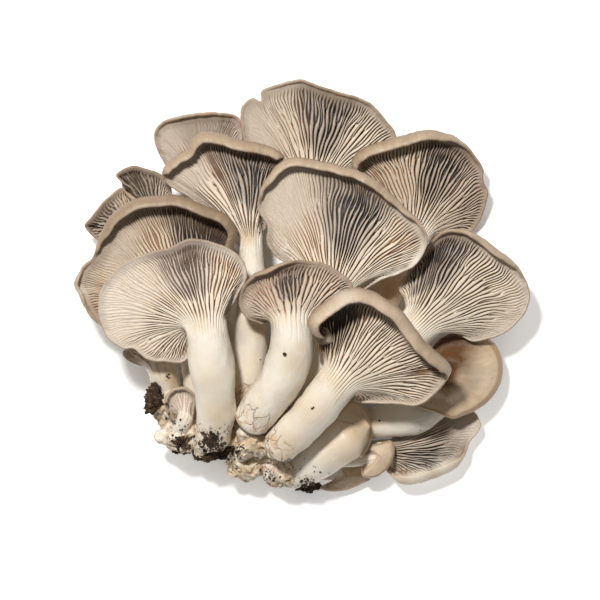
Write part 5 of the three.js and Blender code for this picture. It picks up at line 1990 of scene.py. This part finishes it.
@dataclass
class MattedBase:
    """The knotted base that all stems grow from."""

    lumps: tuple[tuple[float, ...], ...] = (
        (-48, -59, 16.5, 9.5, 7.5, 13.5), (-36, -60, 21, 10, 7.5, 15), (-22, -62, 21, 9, 8, 15),
        (-22, -72, 13, 8, 6, 12), (-8, -72, 12, 11, 9, 13), (-38, -54, 6, 18, 8, 11),
        (-12, -58, 7, 16, 10, 12), (1, -64, 5, 10, 12, 8), (-54, -47, 17, 6.5, 8, 11),
        (-10, -63, 26, 9, 6, 11),
    )
    knots_each: int = 9
    voxel: float = 0.7
    finish: BaseFinish = BaseFinish()

    def build(self, finishes: Finishes) -> Object:
        """Builds and dresses the base.

        Args:
            finishes: Where its material comes from.

        Returns:
            The finished object.
        """
        knobs = [Lump(row[:3], row[3:], i).add(4) for i, row in enumerate(self.lumps)]
        knobs.extend(self._knots())
        base = join(knobs, "mycelium_base_body")
        remesh = base.modifiers.new("even_faces", "REMESH")
        remesh.mode = "VOXEL"
        remesh.voxel_size = self.voxel * MM
        soften = base.modifiers.new("soften", "SMOOTH")
        soften.iterations = 3
        apply_all(base)

        def roughened(places: Array, normals: Array) -> Array:
            """Gives the base its knots and creases, and keeps it above the surface below."""
            moved = places + column(0.8 * waves(places, 5, 5.5, 3) - 1.1 * self._creases(places)) * normals
            moved[:, 2] = np.maximum(moved[:, 2], 0)
            return moved

        places = point_places(base)
        hollow = base.data.attributes.new("hollow", "FLOAT", "POINT")
        hollow.data.foreach_set("value", self._creases(places).astype(np.float32))
        move_points(base, roughened)
        base.data.polygons.foreach_set("use_smooth", np.ones(len(base.data.polygons), bool))
        base.data.materials.append(finishes.knotted(self.finish))
        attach(base, "root")
        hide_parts("mycelium_base")
        return base

    def _knots(self) -> list[Object]:
        """Small knots that stand out of the lumps, set round each by the golden angle.

        Returns:
            The new objects.
        """
        knots = []
        for i, row in enumerate(self.lumps):
            middle, radii = np.array(row[:3]), np.array(row[3:])
            for k in range(self.knots_each):
                height = 1 - (k + 0.5) * 1.4 / self.knots_each
                turn = GOLDEN_ANGLE * (k + 3 * i)
                level = math.sqrt(max(0.0, 1 - height * height))
                way = np.array([level * math.cos(turn), level * math.sin(turn), height])
                size = 2.0 + 1.4 * math.sin(2.7 * k + i) ** 2
                place = middle + 0.93 * radii * way
                if place[2] > size:
                    knots.append(Lump(tuple(place), (size, size * 0.85, size * 0.75), k + i).add(2))
        return knots

    def _creases(self, places: Array) -> Array:
        """Where winding creases run, from 0 beside them to 1 in them."""
        wide = np.exp(-((waves(places, 21, 8.0, 2) / 0.11) ** 2))
        fine = 0.7 * np.exp(-((waves(places, 22, 4.5, 2) / 0.09) ** 2))
        return np.maximum(wide, fine)


@dataclass
class SubstrateClod:
    """One heap of dark crumbs stuck to the base."""

    name: str
    middle: tuple[float, float, float]
    spread: tuple[float, float, float]
    crumbs: int
    crumb: float
    seed: int

    def build(self, material: Material) -> Object:
        """Builds and dresses the clod.

        Args:
            material: The crumbs' material.

        Returns:
            The finished object.
        """
        middle, spread = np.array(self.middle), np.array(self.spread)
        lumps = []
        for i in range(self.crumbs):
            turn = GOLDEN_ANGLE * (i + self.seed)
            out = math.sqrt(i / self.crumbs)
            size = self.crumb * (1 + 0.35 * math.sin(7 * i + self.seed))
            shift = np.array([out * math.cos(turn), out * math.sin(turn), math.sin(2.4 * i + self.seed)])
            place = middle + spread * shift
            lumps.append(Lump(tuple(place), (size, size * 0.9, size * 0.8), self.seed + i).add(3))
        clod = join(lumps, self.name + "_body")
        remesh = clod.modifiers.new("even_faces", "REMESH")
        remesh.mode = "VOXEL"
        remesh.voxel_size = 0.45 * MM
        apply_all(clod)

        def crumbled(places: Array, normals: Array) -> Array:
            """Breaks the surface up into grains."""
            grains = 0.7 * np.abs(waves(places, self.seed + 50, 1.3, 2))
            grains = grains + 0.5 * waves(places, self.seed + 60, 3.0, 2)
            moved = places + column(grains - 0.2) * normals
            moved[:, 2] = np.maximum(moved[:, 2], 0)
            return moved

        move_points(clod, crumbled)
        clod.data.materials.append(material)
        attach(clod, "root")
        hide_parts(self.name)
        return clod


@dataclass(frozen=True)
class CrumbPatch:
    """Loose grains that lie round one place: where, how far round it, how many and how large."""

    x: float
    y: float
    reach: float
    count: int
    size: float


@dataclass
class LooseCrumbs:
    """Loose grains of substrate on the base and the stems, dropped on them from above."""

    patches: tuple[CrumbPatch, ...] = (
        CrumbPatch(-37, -62, 3.5, 190, 1.7), CrumbPatch(-49.5, -62.5, 2.8, 110, 1.5),
        CrumbPatch(2, -81, 2.9, 120, 1.5), CrumbPatch(-27, -66, 2.4, 60, 1.2),
        CrumbPatch(-33, -66, 3, 80, 1.4), CrumbPatch(-59, -44, 4, 80, 1.3),
        CrumbPatch(-49, -57, 4, 26, 0.8), CrumbPatch(-13, -77, 4, 40, 1.0),
        CrumbPatch(-27.6, -67, 3, 16, 0.7), CrumbPatch(-37, -66, 7, 60, 0.9),
        CrumbPatch(-50, -64, 5, 34, 0.8), CrumbPatch(-59, -46, 5, 34, 0.9), CrumbPatch(2, -80, 6, 44, 0.8),
        CrumbPatch(-24, -74, 7, 22, 0.6), CrumbPatch(-32, -57, 3, 9, 0.7),
        CrumbPatch(-17, -29, 0.2, 2, 1.3), CrumbPatch(-7.4, -26.4, 0.2, 2, 1.2),
        CrumbPatch(4, -48, 0.3, 3, 1.2), CrumbPatch(30.8, -54, 0.3, 3, 1.1),
        CrumbPatch(47.5, -57.8, 0.2, 2, 1.2), CrumbPatch(0.6, -68.8, 0.3, 2, 1.2),
        CrumbPatch(6.8, -74.4, 0.4, 3, 1.2), CrumbPatch(-54, -36, 1.2, 12, 1.3),
        CrumbPatch(-49, -33, 1.5, 5, 0.7), CrumbPatch(-30, -70, 14, 30, 0.5),
        CrumbPatch(-6, -72, 9, 14, 0.5),
    )
    seed: int = 3
    sunk: float = 0.3

    def build(self, ground: list[Object], material: Material) -> Object:
        """Drops the grains on the pieces and dresses them.

        Args:
            ground: The pieces that can carry a grain.
            material: The crumbs' material.

        Returns:
            The finished object.
        """
        draw = np.random.default_rng(self.seed)
        trees = [BVHTree.FromObject(piece, bpy.context.evaluated_depsgraph_get()) for piece in ground]
        start_clean()
        bpy.ops.mesh.primitive_ico_sphere_add(subdivisions=1, radius=1)
        grain = bpy.context.view_layer.objects.active
        ball = np.array([v.co for v in grain.data.vertices])
        faces = np.array([p.vertices for p in grain.data.polygons])
        points, triangles = [], []
        for patch in self.patches:
            for _ in range(patch.count):
                away = patch.reach * draw.normal(size=2) / 1.6
                size = patch.size * (0.3 + 0.9 * draw.random() ** 2.5) / 2 * MM
                shape = draw.uniform(0.6, 1.3, 3)
                spot = self._spot(trees, patch.x + away[0], patch.y + away[1])
                jag = ball * (1 + 0.3 * draw.normal(size=(len(ball), 1)))
                if spot is None:
                    continue
                triangles.append(faces + len(ball) * len(points))
                lift = np.array([0, 0, size * (1 - 2 * self.sunk)])
                points.append(np.array(spot) + lift + jag * shape * size)
        mesh = bpy.data.meshes.new("loose_crumbs")
        mesh.from_pydata(np.concatenate(points).tolist(), [], np.concatenate(triangles).tolist())
        bpy.data.objects.remove(grain, do_unlink=True)
        crumbs = bpy.data.objects.new("loose_crumbs", mesh)
        bpy.context.scene.collection.objects.link(crumbs)
        crumbs.data.materials.append(material)
        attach(crumbs, "root")
        return crumbs

    def _spot(self, trees: list[BVHTree], x: float, y: float) -> Optional[Vector]:
        """Drops a grain.

        Args:
            trees: The pieces that can carry it.
            x: Where it falls, in millimetres.
            y: The same, the other way.

        Returns:
            The highest place on the pieces there, if there is one.
        """
        hits = [tree.ray_cast(Vector((x * MM, y * MM, 0.2)), Vector((0, 0, -1)))[0] for tree in trees]
        found = [hit for hit in hits if hit is not None]
        return max(found, key=lambda hit: hit.z) if found else None


# Studio


@dataclass
class Studio:
    """A pale floor, soft light from the upper left and the camera straight above."""

    centre: tuple[float, float] = (-1.2, -5.2)
    distance: float = 2.0
    view_width: float = 240.0
    view_level: float = 35.0
    lamp_power: float = 18.6
    lamp_size: float = 0.14
    lamp_place: tuple[float, float, float] = (-0.26, 0.47, 1.25)
    lamp_colour: Colour = (1.0, 0.98, 0.955)
    sensor: float = 36.0
    sky_colour: Colour = (1.0, 0.965, 0.925)
    fill: float = 0.18
    floor_size: float = 4.0
    paper_colour: Colour = (0.93, 0.93, 0.93)
    floor_glow: float = 0.45
    glow_edge: tuple[float, float] = (0.06, 0.095)

    def build(self) -> None:
        """Builds the camera, the lights and the floor."""
        self._camera()
        self._lights()
        self._floor()

    def _camera(self) -> None:
        """A long lens, straight above the object."""
        lens = bpy.data.cameras.new("overhead_camera")
        lens.sensor_width = self.sensor
        lens.lens = self.sensor * (self.distance - self.view_level * MM) / (self.view_width * MM)
        camera = bpy.data.objects.new("overhead_camera", lens)
        camera.location = (self.centre[0] * MM, self.centre[1] * MM, self.distance)
        bpy.context.scene.collection.objects.link(camera)
        bpy.context.scene.camera = camera

    def _lights(self) -> None:
        """A window-like lamp at the upper left and an even pale sky."""
        lamp = bpy.data.lights.new("window", "AREA")
        lamp.shape = "SQUARE"
        lamp.size = self.lamp_size
        lamp.energy = self.lamp_power
        lamp.color = self.lamp_colour
        window = bpy.data.objects.new("window", lamp)
        window.location = self.lamp_place
        window.rotation_euler = (-Vector(window.location)).to_track_quat("-Z", "Y").to_euler()
        bpy.context.scene.collection.objects.link(window)
        world = bpy.data.worlds.new("pale_sky")
        world.use_nodes = True
        sky = world.node_tree.nodes["Background"]
        sky.inputs["Color"].default_value = (*self.sky_colour, 1.0)
        sky.inputs["Strength"].default_value = self.fill
        bpy.context.scene.world = world
        bpy.context.scene.view_settings.view_transform = "Standard"

    def _floor(self) -> None:
        """A plain white surface.

        Outside a ring round the cluster it glows: painted light that keeps the cast shadows on it pale.
        """
        start_clean()
        bpy.ops.mesh.primitive_plane_add(size=self.floor_size, location=(0, 0, 0))
        floor = bpy.context.view_layer.objects.active
        floor.name = "floor"
        paper = bpy.data.materials.new("glowing_white_floor")
        paper.use_nodes = True
        board = NodeBoard(paper.node_tree)
        shader = paper.node_tree.nodes["Principled BSDF"]
        shader.inputs["Base Color"].default_value = (*self.paper_colour, 1.0)
        shader.inputs["Roughness"].default_value = 0.9
        # The glow, painted light, is nothing under the cluster and full outside the ring of glow_edge.
        place = board.add("ShaderNodeTexCoord").outputs["Object"]
        away = board.add("ShaderNodeVectorMath", {0: place}, operation="LENGTH").outputs["Value"]
        glow = board.blend(board.between(away, *self.glow_edge), (0.0, 0.0, 0.0), (1.0, 1.0, 1.0))
        board.feed(shader.inputs["Emission Color"], glow)
        shader.inputs["Emission Strength"].default_value = self.floor_glow
        floor.data.materials.append(paper)


CLODS: tuple[SubstrateClod, ...] = (
    SubstrateClod("substrate_clod_1", (-59.5, -45, 27), (2.4, 5, 5), 22, 1.8, 1),
    SubstrateClod("substrate_clod_2", (-49.5, -64, 24), (3.2, 2.2, 4), 18, 1.5, 4),
    SubstrateClod("substrate_clod_3", (-37, -66.5, 22), (5.4, 2.4, 5), 24, 1.9, 7),
    SubstrateClod("substrate_clod_4", (1.5, -79.5, 5.5), (4.8, 2.8, 2), 18, 1.6, 11),
)


def report(piece: Object) -> None:
    """Logs a finished piece."""
    LOG.info("%s: %d faces", piece.name, len(piece.data.polygons))


def main() -> None:
    """Builds the cluster piece by piece."""
    Studio().build()
    finishes = Finishes()
    ground = []
    for seed, mushroom in enumerate(MUSHROOMS):
        piece = FruitBody(mushroom, seed).build()
        piece.data.materials.append(finishes.flesh(mushroom.name, mushroom.look))
        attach(piece, "root")
        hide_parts(mushroom.name)
        ground.append(piece)
        report(piece)
    base = MattedBase().build(finishes)
    ground.append(base)
    report(base)
    soil = finishes.soil(SoilFinish())
    for clod in CLODS:
        report(clod.build(soil))
    report(LooseCrumbs().build(ground, soil))


if __name__ == "__main__":
    logging.basicConfig(level=logging.INFO, format="%(message)s")
    main()
